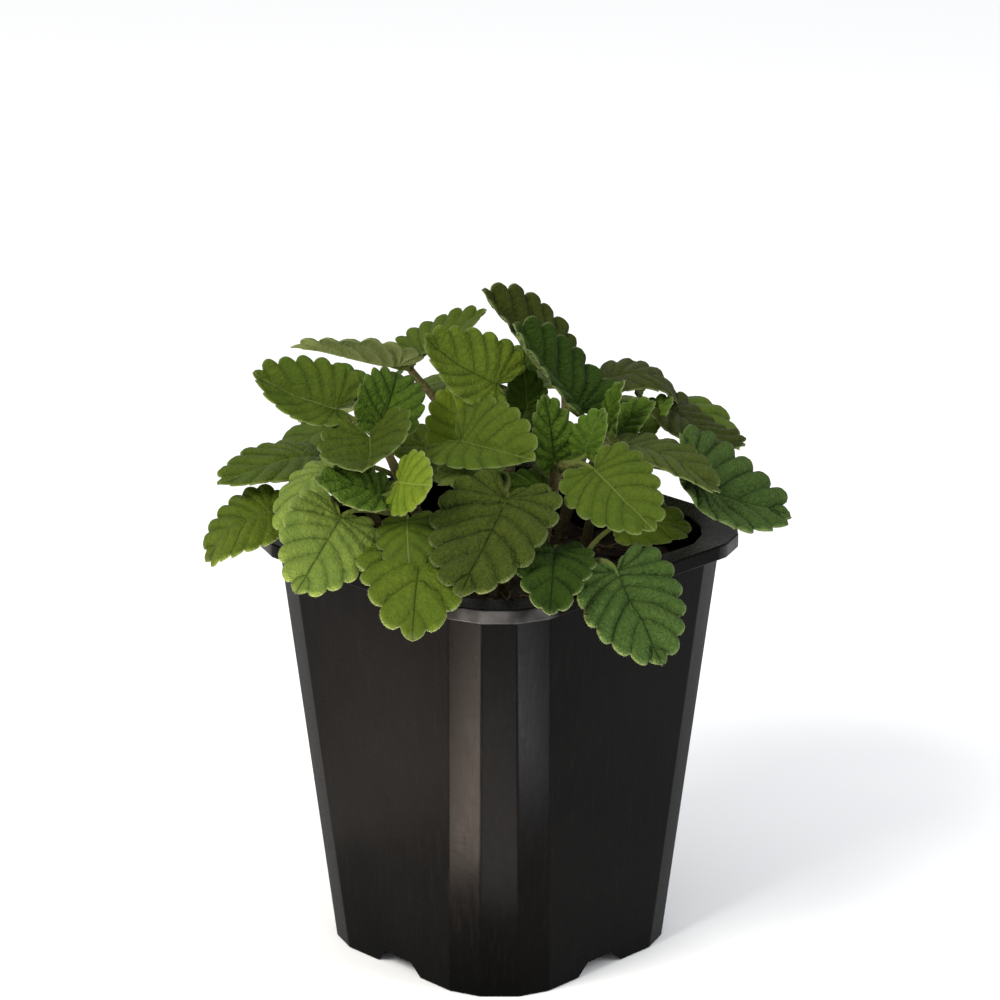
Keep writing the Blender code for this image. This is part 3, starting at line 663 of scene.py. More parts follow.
def blade_faces(across, rows):
    """Faces of both halves, above and below, and of the margin that joins them."""
    per_half = across * rows
    count = 2 * per_half
    faces, rims = [], []
    for half, way in ((0, -1), (1, 1)):
        grid = np.arange(per_half).reshape(rows, across) + half * per_half
        corners = (grid[:-1, :-1], grid[:-1, 1:], grid[1:, 1:], grid[1:, :-1])
        quads = np.stack(corners, -1).reshape(-1, 4)
        faces += [quads[:, ::way], quads[:, ::-way] + count]
        low, high = grid[-1][:-1], grid[-1][1:]
        rims.append(np.column_stack([low, high, high + count, low + count])[:, ::way])
    return np.vstack(faces + rims)


def add_leaf(patch, leaf, serial, rng):
    """Fine blade with sunken veins, puffed panels between them and a scalloped, downy margin."""
    crinkle = CRINKLE.get(leaf.colour, PLAIN_CRINKLE) * min(1.0, leaf_length(leaf) / GROWN_LENGTH)
    tint = np.array(LEAF_COLOURS[leaf.colour]) * rng.uniform(*TINT_SPREAD)
    upper = leaf_frame(leaf)[3]
    shares = np.linspace(0, 1, round(tooth_count(leaf) * SAMPLES_PER_TOOTH) + 1)
    levels = np.linspace(0, 1, RAY_STEPS + 1) ** LEVEL_POWER
    margins = [(shares, toothed_margin(leaf, shares, rng)) for _ in range(2)]
    net = net_lines(leaf, margins, rng)
    waves = rng.uniform(0, 2 * math.pi, (2, 2))
    flat, edge, rays = leaf_grid(leaf, margins, levels)
    quilt, groove = panels_and_grooves(flat, vein_lines(leaf, margins), net)
    relief = blade_relief(leaf, flat, edge, quilt, groove, waves, crinkle)
    relief -= margin_waves(leaf, shares, levels, crinkle)
    surface = on_blade(leaf, flat[:, 0], flat[:, 1]) + relief[:, None] * upper
    half_thick = BLADE_THICKNESS / 2 * np.clip(EDGE_THICKNESS + edge / EDGE_REACH, EDGE_THICKNESS, 1)
    top = surface + upper * half_thick[:, None]
    low = surface - upper * (half_thick + VEIN_BULGE * groove * crinkle)[:, None]
    # painted shade in the valleys between the veins and painted light on the crests of the panels, carried in
    # the tint
    shade = VALLEY_PAINTED_SHADE + (CREST_PAINTED_LIGHT - VALLEY_PAINTED_SHADE) * quilt / (QUILT.height + NET.height)
    near = np.exp(-(edge / MARGIN_BAND) ** MARGIN_POWER)
    none, full = np.zeros_like(near), np.ones_like(near)
    marks = np.vstack([np.column_stack([groove, near, under, none]) for under in (none, full)])
    flats = np.column_stack([flat, np.full(len(flat), serial * LEAF_SPREAD)])
    points, faces, keep = weld(np.vstack([top, low]), blade_faces(len(shares), len(levels)))
    patch.add(points, faces, (tint * np.tile(shade, 2)[:, None])[keep], marks[keep],
              np.tile(flats, (2, 1))[keep], np.tile(rays, (2, 1))[keep], ROUGH_PER_CRINKLE * crinkle)
    for half in np.split(surface, 2):
        hairs_on_half(patch, half.reshape(len(levels), len(shares), 3), upper, rng)


def weld(points, faces):
    """Merges points that fall together and drops the faces that collapse."""
    keys = np.round(points / WELD_DISTANCE).astype(np.int64)
    _, keep, where = np.unique(keys, axis=0, return_index=True, return_inverse=True)
    loops = [list(dict.fromkeys(loop)) for loop in where.ravel()[faces].tolist()]
    return points[keep], [loop for loop in loops if len(loop) > 2], keep


def hairs_on_half(patch, grid, upper, rng):
    """Short down along the margin and over the upper face of half a leaf."""
    rows, across = grid.shape[:2]
    rim, inner = grid[-1], grid[-3]
    places = run_along(rim)
    count = int(places[-1] / MARGIN_HAIR_SPACING)
    at = np.sort(rng.uniform(*MARGIN_HAIR_RANGE, count)) * places[-1]
    roots = rows_at(at, places, rim)
    out = roots - rows_at(at, places, inner)
    out /= np.maximum(np.linalg.norm(out, axis=1), 1e-6)[:, None]
    add_hairs(patch, roots - out * HAIR_SINK, out, MARGIN_HAIR, rng)
    count = int(places[-1] * FACE_HAIRS_PER_MM)
    i = rng.integers(1, rows - 1, count)
    j = rng.integers(1, across - 2, count)
    t = rng.uniform(size=(count, 1))
    roots = grid[i, j] * (1 - t) + grid[i, j + 1] * t + upper * BLADE_THICKNESS * FACE_HAIR_RISE
    add_hairs(patch, roots, upper, FACE_HAIR, rng)


def tube(patch, path, radii, tints, rng, hairs_per_mm=0.0, sides=STEM_SIDES, squareness=STEM_SQUARENESS):
    """Square-edged stem or stalk with closed ends and short hairs."""
    path = np.asarray(path, float)
    ahead = unit(np.gradient(path, axis=0))
    frame_a = np.cross(ahead[0], TUBE_HELPER)
    frame_a /= np.linalg.norm(frame_a)
    turns = 2 * math.pi * np.arange(sides) / sides
    rings = []
    normals = []
    for k in range(len(path)):
        frame_a = frame_a - ahead[k] * (frame_a @ ahead[k])
        frame_a /= np.linalg.norm(frame_a)
        frame_b = np.cross(ahead[k], frame_a)
        out = np.outer(np.cos(turns), frame_a) + np.outer(np.sin(turns), frame_b)
        size = radii[k] * (1 + squareness * np.cos(4 * turns))
        rings.append(path[k] + out * size[:, None])
        normals.append(out)
    points = np.vstack(rings + [path[:1], path[-1:]])
    faces = ring_faces(len(path), sides)
    last = (len(path) - 1) * sides
    low, high = len(points) - 2, len(points) - 1
    faces += [(low, (s + 1) % sides, s) for s in range(sides)]
    faces += [(high, last + s, last + (s + 1) % sides) for s in range(sides)]
    colours = np.vstack([np.repeat(tints, sides, axis=0), tints[:1], tints[-1:]])
    patch.add(points, faces, colours, STEM_MARKS)
    count = int(run_along(path)[-1] * hairs_per_mm)
    k = rng.integers(1, len(path), count)
    s = rng.integers(0, sides, count)
    t = rng.uniform(size=(count, 1))
    rings, normals = np.array(rings), np.array(normals)
    roots = rings[k, s] * t + rings[k - 1, s] * (1 - t) - normals[k, s] * HAIR_SINK
    add_hairs(patch, roots, normals[k, s], STEM_HAIR, rng)


def stem_path(stem, steps):
    path = smooth_path(stem.path, steps)
    ahead = path[1] - path[0]
    root = path[0] - ahead / np.linalg.norm(ahead) * STEM_ROOT
    return np.vstack([root, path])


def stalk_path(start, leaf):
    base, along, _, upper = leaf_frame(leaf)
    under = upper * STALK_SINK
    bend = base - along * min(STALK_BEND_MOST, STALK_BEND * np.linalg.norm(base - start))
    path = [(1 - t) ** 2 * start + 2 * t * (1 - t) * bend + t * t * (base - under)
            for t in np.linspace(0, 1, STALK_POINTS)]
    reach = STALK_REACH * leaf_length(leaf)
    into = on_blade(leaf, np.array([reach]), np.array([0.0]))[0] - under
    return np.array(path + [into])


def blended(low, high, shares):
    """Rows of colour from the low one to the high one."""
    return np.array(low) * (1 - shares[:, None]) + np.array(high) * shares[:, None]


def build_stem(stem, material, serial):
    rng = np.random.default_rng(serial)
    patch = Patch()
    starts = stem_path(stem, START_STEPS)[1:]
    path = stem_path(stem, STEM_STEPS)
    radii = np.linspace(*STEM_RADII, len(path)) * STEM_SLIMMING
    # the stem's own colour with painted shade for the dark gaps between the leaves
    tints = blended(*STEM_COLOURS_AND_SHADE, np.linspace(0, 1, len(path)))
    tube(patch, path, radii, tints, rng, STEM_HAIRS_PER_MM)
    for number, leaf in enumerate(stem.leaves):
        way = stalk_path(starts[round(leaf.at * (len(starts) - 1))], leaf)
        radii = np.linspace(*STALK_RADII, len(way)) * STALK_SLIMMING
        radii[-1] *= STALK_END_SLIMMING
        end_colour = STALK_END_LIGHTNESS * np.array(LEAF_COLOURS[leaf.colour])
        tints = blended(STALK_COLOUR, end_colour, np.linspace(0, 1, len(way)) ** 2)
        tube(patch, way, radii, tints, rng, STALK_HAIRS_PER_MM)
        add_leaf(patch, leaf, serial * 10 + number, rng)
    obj = patch.object(stem.name + "_fine", material)
    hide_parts(stem.name)
    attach(obj, "root")


def lerp_ring(low, high, share):
    return Ring(*(a + (b - a) * share for a, b in zip(low, high)))


def inset_ring(ring, distance):
    return Ring(*(a - b * distance for a, b in zip(ring, INSET_SHARES)))


def body_ring(height):
    return lerp_ring(FOOT_RING, NECK_RING, height / SKIRT_BOTTOM)


def ring_points(ring, height):
    """Sixteen corners, anticlockwise from the front group."""
    points = []
    corners = ((ring.side, -ring.side_half), (ring.nose, -ring.nose_half), (ring.nose, ring.nose_half),
               (ring.side, ring.side_half))
    for quarter in range(4):
        turn = math.radians(90 * quarter - 90)
        for out, along in corners:
            points.append((out * math.cos(turn) - along * math.sin(turn),
                           out * math.sin(turn) + along * math.cos(turn), height))
    return points


def loft(rings):
    """Points and faces through closed rings of equal count, with both ends capped."""
    count = len(rings[0])
    points = [p for ring in rings for p in ring]
    faces = ring_faces(len(rings), count)
    faces.append(tuple(range(count))[::-1])
    faces.append(tuple(range(len(points) - count, len(points))))
    return points, faces


def linked(name, mesh):
    obj = bpy.data.objects.new(name, mesh)
    bpy.context.scene.collection.objects.link(obj)
    return obj


def plain_object(name, points, faces, material=None):
    mesh = bpy.data.meshes.new(name)
    places = [tuple(float(c) * MM for c in point) for point in points]
    mesh.from_pydata(places, [], [tuple(map(int, face)) for face in faces])
    mesh.update()
    shape = bmesh.new()
    shape.from_mesh(mesh)
    bmesh.ops.recalc_face_normals(shape, faces=shape.faces)
    shape.to_mesh(mesh)
    shape.free()
    if material:
        mesh.materials.append(material)
    return linked(name, mesh)


def bake_modifiers(obj):
    graph = bpy.context.evaluated_depsgraph_get()
    baked = bpy.data.meshes.new_from_object(obj.evaluated_get(graph))
    obj.modifiers.clear()
    obj.data = baked


def cut(obj, cutter):
    modifier = obj.modifiers.new("Cut", "BOOLEAN")
    modifier.operation = "DIFFERENCE"
    modifier.object = cutter
    return cutter


def inner_ring(height):
    """Corners of the wall's inside at a height."""
    return ring_points(inset_ring(body_ring(height), WALL), height)


def build_pot(material):
    rings = [
        inner_ring(PLATE_BOTTOM),
        ring_points(inset_ring(FOOT_RING, WALL), 0.0),
        ring_points(FOOT_RING, 0.0),
        ring_points(body_ring(NECK_HEIGHT), NECK_HEIGHT),
        ring_points(inset_ring(RIM_RING, SKIRT_WALL), NECK_HEIGHT),
        ring_points(inset_ring(RIM_RING, SKIRT_WALL), SKIRT_BOTTOM),
        ring_points(RIM_RING, SKIRT_BOTTOM),
        ring_points(RIM_RING, POT_HEIGHT),
        ring_points(LIP_RING, POT_HEIGHT - LIP_DROP),
        inner_ring(SKIRT_BOTTOM - LIP_DEPTH),
        inner_ring(PLATE_TOP),
    ]
    pot = plain_object("pot_fine", *loft(rings), material)
    bevel = pot.modifiers.new("Rounding", "BEVEL")
    bevel.width = POT_EDGE_ROUNDING * MM
    bevel.segments = 3
    bevel.limit_method = "ANGLE"
    bevel.angle_limit = math.radians(POT_ROUNDED_ANGLE)
    cutters = [cut(pot, foot_notch(quarter)) for quarter in range(4)]
    cutters.append(cut(pot, drain_hole(0.0, 0.0, CENTRE_DRAIN_RADIUS)))
    for k in range(DRAIN_COUNT):
        turn = math.radians(360 * (k + 0.5) / DRAIN_COUNT)
        cutters.append(cut(pot, drain_hole(DRAIN_CIRCLE * math.cos(turn), DRAIN_CIRCLE * math.sin(turn),
                                           DRAIN_RADIUS)))
    bake_modifiers(pot)
    for cutter in cutters:
        bpy.data.objects.remove(cutter, do_unlink=True)
    pot.data.shade_smooth()
    pot.data.set_sharp_from_angle(angle=math.radians(POT_SHARP_ANGLE))
    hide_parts("pot")
    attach(pot, "root")


def foot_notch(quarter):
    """A low trapezoid through the foot, in the middle of a wide facet."""
    low, high = NOTCH_LENGTH / 2, NOTCH_TOP_LENGTH / 2
    flare = low + (low - high) * NOTCH_BELOW / NOTCH_HEIGHT
    outline = ((-flare, -NOTCH_BELOW), (flare, -NOTCH_BELOW), (high, NOTCH_HEIGHT), (-high, NOTCH_HEIGHT))
    rings = [[(out, along, up) for along, up in outline] for out in NOTCH_SPAN]
    cutter = plain_object(f"notch_{quarter}", *loft(rings))
    cutter.data.transform(Matrix.Rotation(math.radians(90 * quarter + 45), 4, "Z"))
    return cutter


def drain_hole(x, y, radius):
    turns = np.arange(DRAIN_SIDES) * 2 * math.pi / DRAIN_SIDES
    middle = (PLATE_BOTTOM + PLATE_TOP) / 2
    rings = [[(x + radius * math.cos(t), y + radius * math.sin(t), middle + side * 2 * WALL) for t in turns]
             for side in (-1, 1)]
    return plain_object("drain", *loft(rings))


def soil_height(x, y):
    waves = math.sin(0.21 * x + 0.6) * math.cos(0.17 * y - 0.4) + 0.6 * math.sin(0.43 * x - 0.31 * y)
    return SOIL_LEVEL + SOIL_BUMP * waves


def soil_radius(turn):
    """Distance from the axis to the soil's edge in this direction."""
    corners = np.array(ring_points(inset_ring(body_ring(SOIL_LEVEL), WALL + SOIL_CLEARANCE), 0))[:, :2]
    way = np.array([math.cos(turn), math.sin(turn)])
    best = FAR_AWAY
    for a, b in zip(corners, np.roll(corners, -1, axis=0)):
        edge = b - a
        cross = way[0] * edge[1] - way[1] * edge[0]
        if abs(cross) > NO_LENGTH:
            reach = (a[0] * edge[1] - a[1] * edge[0]) / cross
            along = (a[0] * way[1] - a[1] * way[0]) / cross
            if reach > 0 and -EDGE_SLACK <= along <= 1 + EDGE_SLACK:
                best = min(best, reach)
    return best


def slump(share):
    """How far the soil sinks at this share of the way to its edge."""
    return SOIL_EDGE_SLUMP * share ** SOIL_SLUMP_POWER


def build_soil(material):
    """Crumbly surface over the plug of soil."""
    rng = np.random.default_rng(SOIL_SEED)
    count = SOIL_SIDES
    turns = np.arange(count) * 2 * math.pi / count
    reach = np.array([soil_radius(t) for t in turns])
    bumps = rng.uniform(-1, 1, (SOIL_RINGS + 1, count))
    bumps = (bumps + np.roll(bumps, 1, 1) + np.roll(bumps, 1, 0)) / 3
    points = []
    for level in range(SOIL_RINGS + 1):
        share = 1 - level / (SOIL_RINGS + 1)
        for k, t in enumerate(turns):
            x, y = reach[k] * share * math.cos(t), reach[k] * share * math.sin(t)
            points.append((x, y, soil_height(x, y) - slump(share) + SOIL_CRUMB * bumps[level, k]))
    points.append((0.0, 0.0, soil_height(0, 0)))
    centre = len(points) - 1
    faces = ring_faces(SOIL_RINGS + 1, count)
    inner = SOIL_RINGS * count
    faces += [(inner + k, inner + (k + 1) % count, centre) for k in range(count)]
    deep = PLATE_TOP + SOIL_BASE_GAP
    low_ring = inset_ring(body_ring(deep), WALL + SOIL_CLEARANCE)
    top_ring = inset_ring(body_ring(SOIL_LEVEL), WALL + SOIL_CLEARANCE)
    shrink = (low_ring.nose + low_ring.side) / (top_ring.nose + top_ring.side)
    first = len(points)
    points += [(points[k][0] * shrink, points[k][1] * shrink, deep) for k in range(count)]
    faces += [(first + k, first + (k + 1) % count, (k + 1) % count, k) for k in range(count)]
    faces.append(tuple(range(first, first + count))[::-1])
    soil = plain_object("soil_fine", points, faces, material)
    soil.data.shade_smooth()
    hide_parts("soil")
    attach(soil, "root")


def soil_spot(rng, nearest, farthest):
    """A place on the soil, and its share of the way to the edge."""
    turn = rng.uniform(0, 2 * math.pi)
    share = math.sqrt(rng.uniform(nearest, farthest))
    reach = soil_radius(turn) * share
    return reach * math.cos(turn), reach * math.sin(turn), share


def build_litter(material):
    """Bark chips, crumbs and straw-like fibres lying on the soil."""
    rng = np.random.default_rng(LITTER_SEED)
    patch = Patch()
    for _ in range(CHIP_COUNT):
        x, y, share = soil_spot(rng, *CHIP_SPREAD)
        size = rng.uniform(*CHIP_SIZE) * np.array([rng.uniform(*span) for span in CHIP_PROPORTIONS])
        size *= min(1.0, CHIP_EDGE_SIZE + (1 - share) * CHIP_EDGE_GROWTH)
        centre = np.array([x, y, soil_height(x, y) - slump(share) + CHIP_RISE * size[2]])
        bark = BARK_COLOURS[rng.integers(len(BARK_COLOURS))] * rng.uniform(*BARK_SHADES)
        chip(patch, centre, size, bark, rng)
    for _ in range(FIBRE_COUNT):
        x, y, _ = soil_spot(rng, *FIBRE_SPREAD)
        fibre(patch, x, y, STRAW_COLOUR * rng.uniform(*STRAW_SHADES), rng)
    litter = patch.object("soil_litter", material)
    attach(litter, "root")


def chip(patch, centre, size, tint, rng):
    """Irregular rounded lump."""
    shape = bmesh.new()
    bmesh.ops.create_icosphere(shape, subdivisions=1, radius=1.0)
    points = np.array([v.co[:] for v in shape.verts])
    faces = [[v.index for v in f.verts] for f in shape.faces]
    shape.free()
    points *= 1 + CHIP_ROUGHNESS * rng.normal(size=(len(points), 1))
    spin = Matrix.Rotation(rng.uniform(0, CHIP_SPIN), 3, "Z")
    tilt = Matrix.Rotation(CHIP_TILT * rng.normal(), 3, "X")
    points = (points * size / 2) @ np.array(spin @ tilt).T + centre
    patch.add(points, faces, tint, PLAIN_MARKS)


def fibre(patch, x, y, tint, rng):
    """A bowed thread that lies on the soil with one end lifted."""
    turn = rng.uniform(0, 2 * math.pi)
    length = rng.uniform(*FIBRE_LENGTH)
    bow = rng.uniform(-FIBRE_BOW, FIBRE_BOW) * length
    lift = rng.uniform(*FIBRE_LIFT)
    t = np.linspace(-0.5, 0.5, FIBRE_POINTS)
    ahead = np.array([math.cos(turn), math.sin(turn)])
    side = np.array([-ahead[1], ahead[0]])
    flat = np.array([x, y]) + np.outer(t * length, ahead) + np.outer((0.25 - t ** 2) * bow, side)
    reach = np.array([soil_radius(math.atan2(b, a)) for a, b in flat]) - FIBRE_CLEARANCE
    far = np.linalg.norm(flat, axis=1)
    flat *= np.minimum(1, reach / np.maximum(far, 1e-6))[:, None]
    z = [soil_height(a, b) + FIBRE_RISE for a, b in flat] + lift * (t + 0.5) ** 2
    radii = np.full(FIBRE_POINTS, rng.uniform(*FIBRE_RADIUS))
    tube(patch, np.column_stack([flat, z]), radii, np.tile(tint, (FIBRE_POINTS, 1)), rng,
         sides=FIBRE_SIDES, squareness=0.0)


class Nodes:
    """Short hand for a material's nodes."""

    def __init__(self, name):
        self.material = bpy.data.materials.new(name)
        self.material.use_nodes = True
        self.tree = self.material.node_tree
        self.shader = self.tree.nodes["Principled BSDF"]

    def node(self, kind, **values):
        made = self.tree.nodes.new("ShaderNode" + kind)
        for key, value in values.items():
            setattr(made, key, value)
        return made

    def feed(self, socket, value):
        """Links a socket's output, or sets a number, vector or colour."""
        if isinstance(value, bpy.types.NodeSocket):
            self.tree.links.new(value, socket)
        else:
            socket.default_value = (*value, 1.0) if socket.type == "RGBA" else value

    def made(self, kind, output, inputs, **values):
        """A node with these inputs, and its output."""
        made = self.node(kind, **values)
        for key, value in inputs.items():
            self.feed(made.inputs[key], value)
        return made.outputs[output]

    def surface(self, **inputs):
        """Sets the shader's sockets; a socket's name has its spaces as underscores."""
        for key, value in inputs.items():
            self.feed(self.shader.inputs[key.replace("_", " ")], value)

    def attribute(self, name):
        return self.node("Attribute", attribute_name=name)

    def split(self, kind, source, names):
        """The three parts of a colour or vector."""
        made = self.node(kind)
        self.feed(made.inputs[0], source)
        return [made.outputs[name] for name in names]

    def noise(self, vector, scale, detail=3.0, rough=0.55):
        inputs = {"Scale": scale, "Detail": detail, "Roughness": rough, "Vector": vector}
        return self.made("TexNoise", "Fac", inputs)

    def voronoi(self, vector, scale, feature="F1"):
        return self.made("TexVoronoi", "Distance", {"Scale": scale, "Vector": vector}, feature=feature)

    def range(self, value, low, high, to_low=0.0, to_high=1.0):
        inputs = {"Value": value, "From Min": low, "From Max": high, "To Min": to_low, "To Max": to_high}
        return self.made("MapRange", "Result", inputs)

    def fade(self, value, full, gone, strength=1.0):
        """The strength up to one value, and nothing from the other one on."""
        return self.range(value, full, gone, strength, 0.0)

    def maths(self, operation, *values):
        return self.made("Math", "Value", dict(enumerate(values)), operation=operation)

    def plus(self, a, b):
        return self.maths("ADD", a, b)

    def times(self, a, b):
        return self.maths("MULTIPLY", a, b)

    def mix(self, factor, a, b, blend="MIX"):
        return self.made("Mix", MIX_OUTPUT, {"Factor": factor, MIX_INPUTS[0]: a, MIX_INPUTS[1]: b},
                         data_type="RGBA", blend_type=blend)

    def shaded(self, colour, by):
        return self.mix(1.0, colour, by, "MULTIPLY")

    def patched(self, factor, colour, by):
        """The colour, multiplied where the factor says so."""
        return self.mix(factor, colour, self.shaded(colour, by))

    def stretch(self, vector, scale):
        return self.made("Mapping", "Vector", {"Vector": vector, "Scale": scale})

    def bend(self, vector, scale, amount):
        """The vector, moved a little by noise, so that cells lose their straight sides."""
        noise = self.made("TexNoise", "Color", {"Scale": scale, "Vector": vector})
        return self.made("VectorMath", "Vector", {0: noise, 1: (amount, amount, amount), 2: vector},
                         operation="MULTIPLY_ADD")

    def bump(self, height, strength, distance):
        return self.made("Bump", "Normal", {"Strength": strength, "Distance": distance, "Height": height})

    def object_place(self):
        return self.node("TexCoord").outputs["Object"]


def ray_lines(m, flat):
    """Distances in millimetres to the main veins with the midrib, to all side veins, and to the midrib."""
    number, gap, off = m.split("SeparateXYZ", m.attribute("rays").outputs["Vector"], "XYZ")
    swayed = m.plus(number, m.range(m.noise(flat, SWAY_SCALE, 2.0), 0.3, 0.7, -VEIN_SWAY, VEIN_SWAY))
    nearest = m.maths("ABSOLUTE", m.maths("SUBTRACT", m.maths("FRACT", m.plus(swayed, 0.5)), 0.5))
    halved = m.maths("FRACT", m.plus(m.times(swayed, 0.5), 0.5))
    between = m.maths("ABSOLUTE", m.maths("SUBTRACT", halved, 0.5))
    mains = m.times(between, m.times(gap, 2.0))
    return m.maths("MINIMUM", mains, off), m.times(nearest, gap), off


def vein_colours(m, colour, rough, under, vein, lines, branches, off):
    """Dark side veins, a midrib that is pale on a smooth leaf, and pale veins below."""
    dark_vein = m.shaded(colour, DARK_VEIN)
    pale_vein = m.mix(0.5, colour, PALE_VEIN)
    thin = m.maths("MAXIMUM", m.fade(lines, *MAIN_LINE), m.fade(branches, *BRANCH_LINE))
    thin = m.maths("MAXIMUM", thin, m.times(vein, GROOVE_TINT))
    smooth = m.fade(rough, *SMOOTH_LEAF)
    midrib = m.mix(smooth, dark_vein, m.mix(0.35, m.shaded(colour, LIGHT_MIDRIB), pale_vein))
    strength = m.times(thin, m.maths("SUBTRACT", 1.0, m.times(smooth, FAINTER_WHEN_SMOOTH)))
    colour = m.mix(strength, colour, m.mix(under, dark_vein, pale_vein))
    return m.mix(m.fade(off, *MIDRIB_LINE), colour, m.mix(under, midrib, pale_vein))


def leaf_material():
    """Downy green: fine sunken veins and net, pale margin, paler underside, fine pale glands."""
    m = Nodes("Catnip leaf")
    tinted, marked = m.attribute("tint"), m.attribute("marks")
    tint, rough = tinted.outputs["Color"], tinted.outputs["Alpha"]
    vein, near, under = m.split("SeparateColor", marked.outputs["Color"], ("Red", "Green", "Blue"))
    flat = m.attribute("flat").outputs["Vector"]
    lines, branches, off = ray_lines(m, flat)
    bent = m.bend(flat, *BEND)
    patchy = m.noise(flat, PATCH_SCALE, 4.0)
    cells = m.voronoi(bent, CELL_SCALE, "DISTANCE_TO_EDGE")
    small_cells = m.voronoi(bent, SMALL_CELL_SCALE, "DISTANCE_TO_EDGE")
    grain = m.noise(flat, GRAIN_SCALE, 4.0, 0.7)
    colour = m.patched(m.range(m.noise(flat, BROAD_SCALE, 3.0), 0.3, 0.7, 0.0, 0.6), tint, BROAD_SHADE)
    colour = m.patched(m.range(patchy, 0.4, 0.75, 0.0, 0.5), colour, PATCH_LIGHT)
    colour = m.patched(m.fade(cells, 0.0, 0.05, 0.5), colour, NET_SHADE)
    colour = m.patched(m.fade(small_cells, 0.0, 0.08, 0.25), colour, NET_SHADE)
    colour = m.patched(m.range(grain, 0.45, 0.75, 0.0, 0.25), colour, GRAIN_LIGHT)
    colour = vein_colours(m, colour, rough, under, vein, lines, branches, off)
    pale = m.mix(0.7, m.shaded(colour, UNDERSIDE_LIGHT), UNDERSIDE_COLOUR)
    colour = m.mix(m.times(under, 0.8), colour, pale)
    colour = m.mix(m.fade(m.voronoi(flat, GLAND_SCALE), 0.0, 0.16, 0.45), colour, GLAND_COLOUR)
    colour = m.mix(m.times(near, 0.5), colour, MARGIN_COLOUR)
    colour = m.mix(marked.outputs["Alpha"], colour, tint)
    panels = m.plus(m.range(lines, 0.0, 0.9, 0.0, 1.0), m.range(branches, 0.0, 0.6, 0.0, 0.4))
    panels = m.plus(panels, m.range(cells, 0.0, 0.35, 0.0, 0.8))
    panels = m.plus(panels, m.range(small_cells, 0.0, 0.35, 0.0, 0.35))
    depth = m.times(m.maths("POWER", rough, 2.0), 4.0)
    height = m.plus(m.times(panels, depth), m.times(grain, 0.3))
    m.surface(Base_Color=colour, Roughness=m.range(patchy, 0.3, 0.7, 0.44, 0.62),
              Normal=m.bump(height, *LEAF_BUMP))
    m.surface(Specular_IOR_Level=0.06, Sheen_Weight=0.006, Sheen_Roughness=0.5)
    return m.material


def soil_material(name, use_tint):
    m = Nodes(name)
    place = m.object_place()
    broad = m.noise(place, 90.0, 6.0, 0.65)
    fine = m.noise(place, 900.0, 4.0, 0.7)
    if use_tint:
        tint = m.attribute("tint").outputs["Color"]
        colour = m.mix(m.range(broad, 0.35, 0.65), m.shaded(tint, CHIP_SHADE), tint)
    else:
        colour = m.mix(m.range(broad, 0.35, 0.7), *SOIL_COLOURS)
    colour = m.patched(m.range(fine, 0.5, 0.8, 0.0, 0.5), colour, SOIL_GRAIN)
    height = m.plus(broad, m.times(fine, 0.5))
    m.surface(Base_Color=colour, Roughness=0.93, Specular_IOR_Level=0.25, Normal=m.bump(height, *SOIL_BUMPS))
    return m.material


def rim_painted_highlight(m, place):
    """Where a painted highlight lightens the outer face of the rim: high up, upright and far from the axis.
    """
    x, y, z = m.split("SeparateXYZ", place, "XYZ")
    upwards = m.split("SeparateXYZ", m.node("NewGeometry").outputs["Normal"], "XYZ")[2]
    reach = m.maths("SQRT", m.plus(m.maths("POWER", x, 2.0), m.maths("POWER", y, 2.0)))
    rim = m.times(m.range(z, *RIM_HIGHLIGHT_HEIGHT), m.fade(upwards, *RIM_HIGHLIGHT_SLOPE))
    rim = m.times(rim, m.range(reach, *RIM_HIGHLIGHT_RADIUS))
    return m.times(rim, m.range(m.noise(place, 90.0, 3.0), 0.35, 0.65, 0.1, 1.0))


def pot_material():
    """Satin black moulded plastic with faint upright streaks, scuffs, dust and a painted highlight on the
    rim's outer face.
    """
    m = Nodes("Satin black plastic")
    place = m.object_place()
    streaks = m.noise(m.stretch(place, STREAK_STRETCH), 1.0, 3.0, 0.6)
    cloud = m.noise(place, 26.0, 4.0, 0.6)
    speck = m.noise(place, 1500.0, 2.0, 0.5)
    scuffs = m.noise(m.stretch(place, SCUFF_STRETCH), 1.0, 5.0, 0.75)
    colour = m.mix(m.range(cloud, 0.35, 0.7), *PLASTIC_COLOURS)
    colour = m.mix(m.range(streaks, 0.55, 0.8, 0.0, 0.35), colour, STREAK_COLOUR)
    colour = m.mix(m.range(speck, 0.68, 0.8, 0.0, 0.35), colour, SPECK_COLOUR)
    # painted highlight on the rim's outer face
    colour = m.mix(rim_painted_highlight(m, place), colour, RIM_HIGHLIGHT_COLOUR)
    rough = m.plus(m.range(streaks, 0.3, 0.7, 0.24, 0.32), m.range(scuffs, 0.5, 0.8, 0.0, 0.12))
    height = m.plus(m.times(streaks, 0.5), m.times(scuffs, 0.5))
    m.surface(Base_Color=colour, Roughness=rough, Normal=m.bump(height, *POT_BUMP), Specular_IOR_Level=0.035)
    return m.material


def floor_material():
    m = Nodes("Pale floor")
    cloud = m.noise(m.object_place(), 2.0, 2.0)
    m.surface(Base_Color=m.mix(cloud, *FLOOR_COLOURS), Roughness=0.9, Specular_IOR_Level=0.1)
    return m.material


def build_camera():
    data = bpy.data.cameras.new("Camera")
    data.lens = CAMERA_LENS
    data.sensor_width = 36.0
    data.clip_start, data.clip_end = (0.05, 50)
    camera = linked("Camera", data)
    camera.location = [c * MM for c in CAMERA_PLACE]
    camera.rotation_euler = (math.radians(90 - CAMERA_PITCH), 0, 0)
    bpy.context.scene.camera = camera


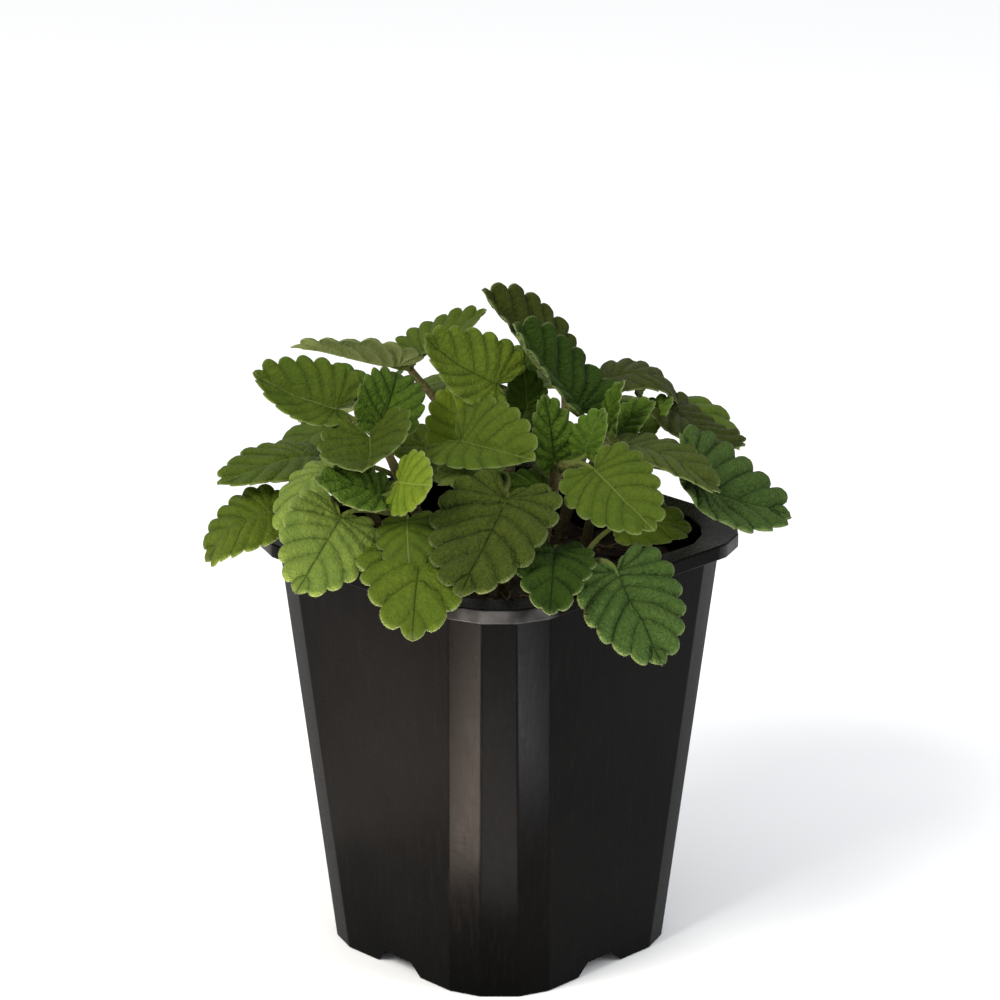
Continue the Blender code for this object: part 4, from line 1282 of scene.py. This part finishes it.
def area_light(name, place, turn, size, power, colour):
    """Softbox at a place in metres."""
    data = bpy.data.lights.new(name, "AREA")
    data.shape = "RECTANGLE"
    data.size, data.size_y = size
    data.energy = power
    data.color = colour
    light = linked(name, data)
    light.location = place
    light.rotation_euler = turn
    return light


def softbox(name, place, size, power, colour):
    """Softbox that faces the plant."""
    way = Vector((0, 0, PLANT_MIDDLE)) - Vector(place)
    area_light(name, place, way.to_track_quat("-Z", "Y").to_euler(), size, power, colour)


def floor_glow(name, place, size, turn, power, colour):
    """Low light just above the floor that faces up and shows only in the pot's facets."""
    metres = (place[0] * MM, place[1] * MM, GLOW_HEIGHT)
    facing_up = (math.pi, 0, math.radians(turn))
    light = area_light(name, metres, facing_up, (size[0] * MM, size[1] * MM), power, colour)
    light.visible_camera = False


def build_stage():
    corners = [(x * FLOOR_HALF, y * FLOOR_HALF, FLOOR_LEVEL) for x, y in ((-1, -1), (1, -1), (1, 1), (-1, 1))]
    floor = plain_object("floor", corners, [(0, 1, 2, 3)], floor_material())
    if floor.data.polygons[0].normal.z < 0:
        floor.data.flip_normals()
    world = bpy.data.worlds.new("Studio")
    world.use_nodes = True
    background = world.node_tree.nodes["Background"]
    background.inputs["Color"].default_value = (0.97, 0.98, 1.0, 1.0)
    background.inputs["Strength"].default_value = 0.88
    bpy.context.scene.world = world
    softbox("key", (-0.9, -0.9, 1.3), (0.7, 0.7), 27.0, (1.0, 0.96, 0.90))
    softbox("fill", (1.1, -0.6, 0.9), (0.6, 0.8), 6.0, (0.88, 0.94, 1.0))
    floor_glow("glow_left", (-98, -142), (140, 50), 45, 0.85, (1.0, 0.82, 0.68))
    floor_glow("glow_right", (115, -163), (100, 50), -45, 0.36, (0.94, 0.96, 1.0))
    floor_glow("glow_side_left", (-175, -32), (150, 80), 0, 0.07, (1.0, 0.82, 0.68))
    floor_glow("glow_front", (0, -150), (30, 120), 0, 0.10, (1.0, 0.95, 0.90))
    bpy.context.scene.view_settings.view_transform = "Standard"
    bpy.context.scene.view_settings.look = "None"


build_camera()
build_stage()
green = leaf_material()
for number, stem in enumerate(STEMS):
    build_stem(stem, green, number + 1)
build_pot(pot_material())
build_soil(soil_material("Bark soil", False))
build_litter(soil_material("Bark chips", True))
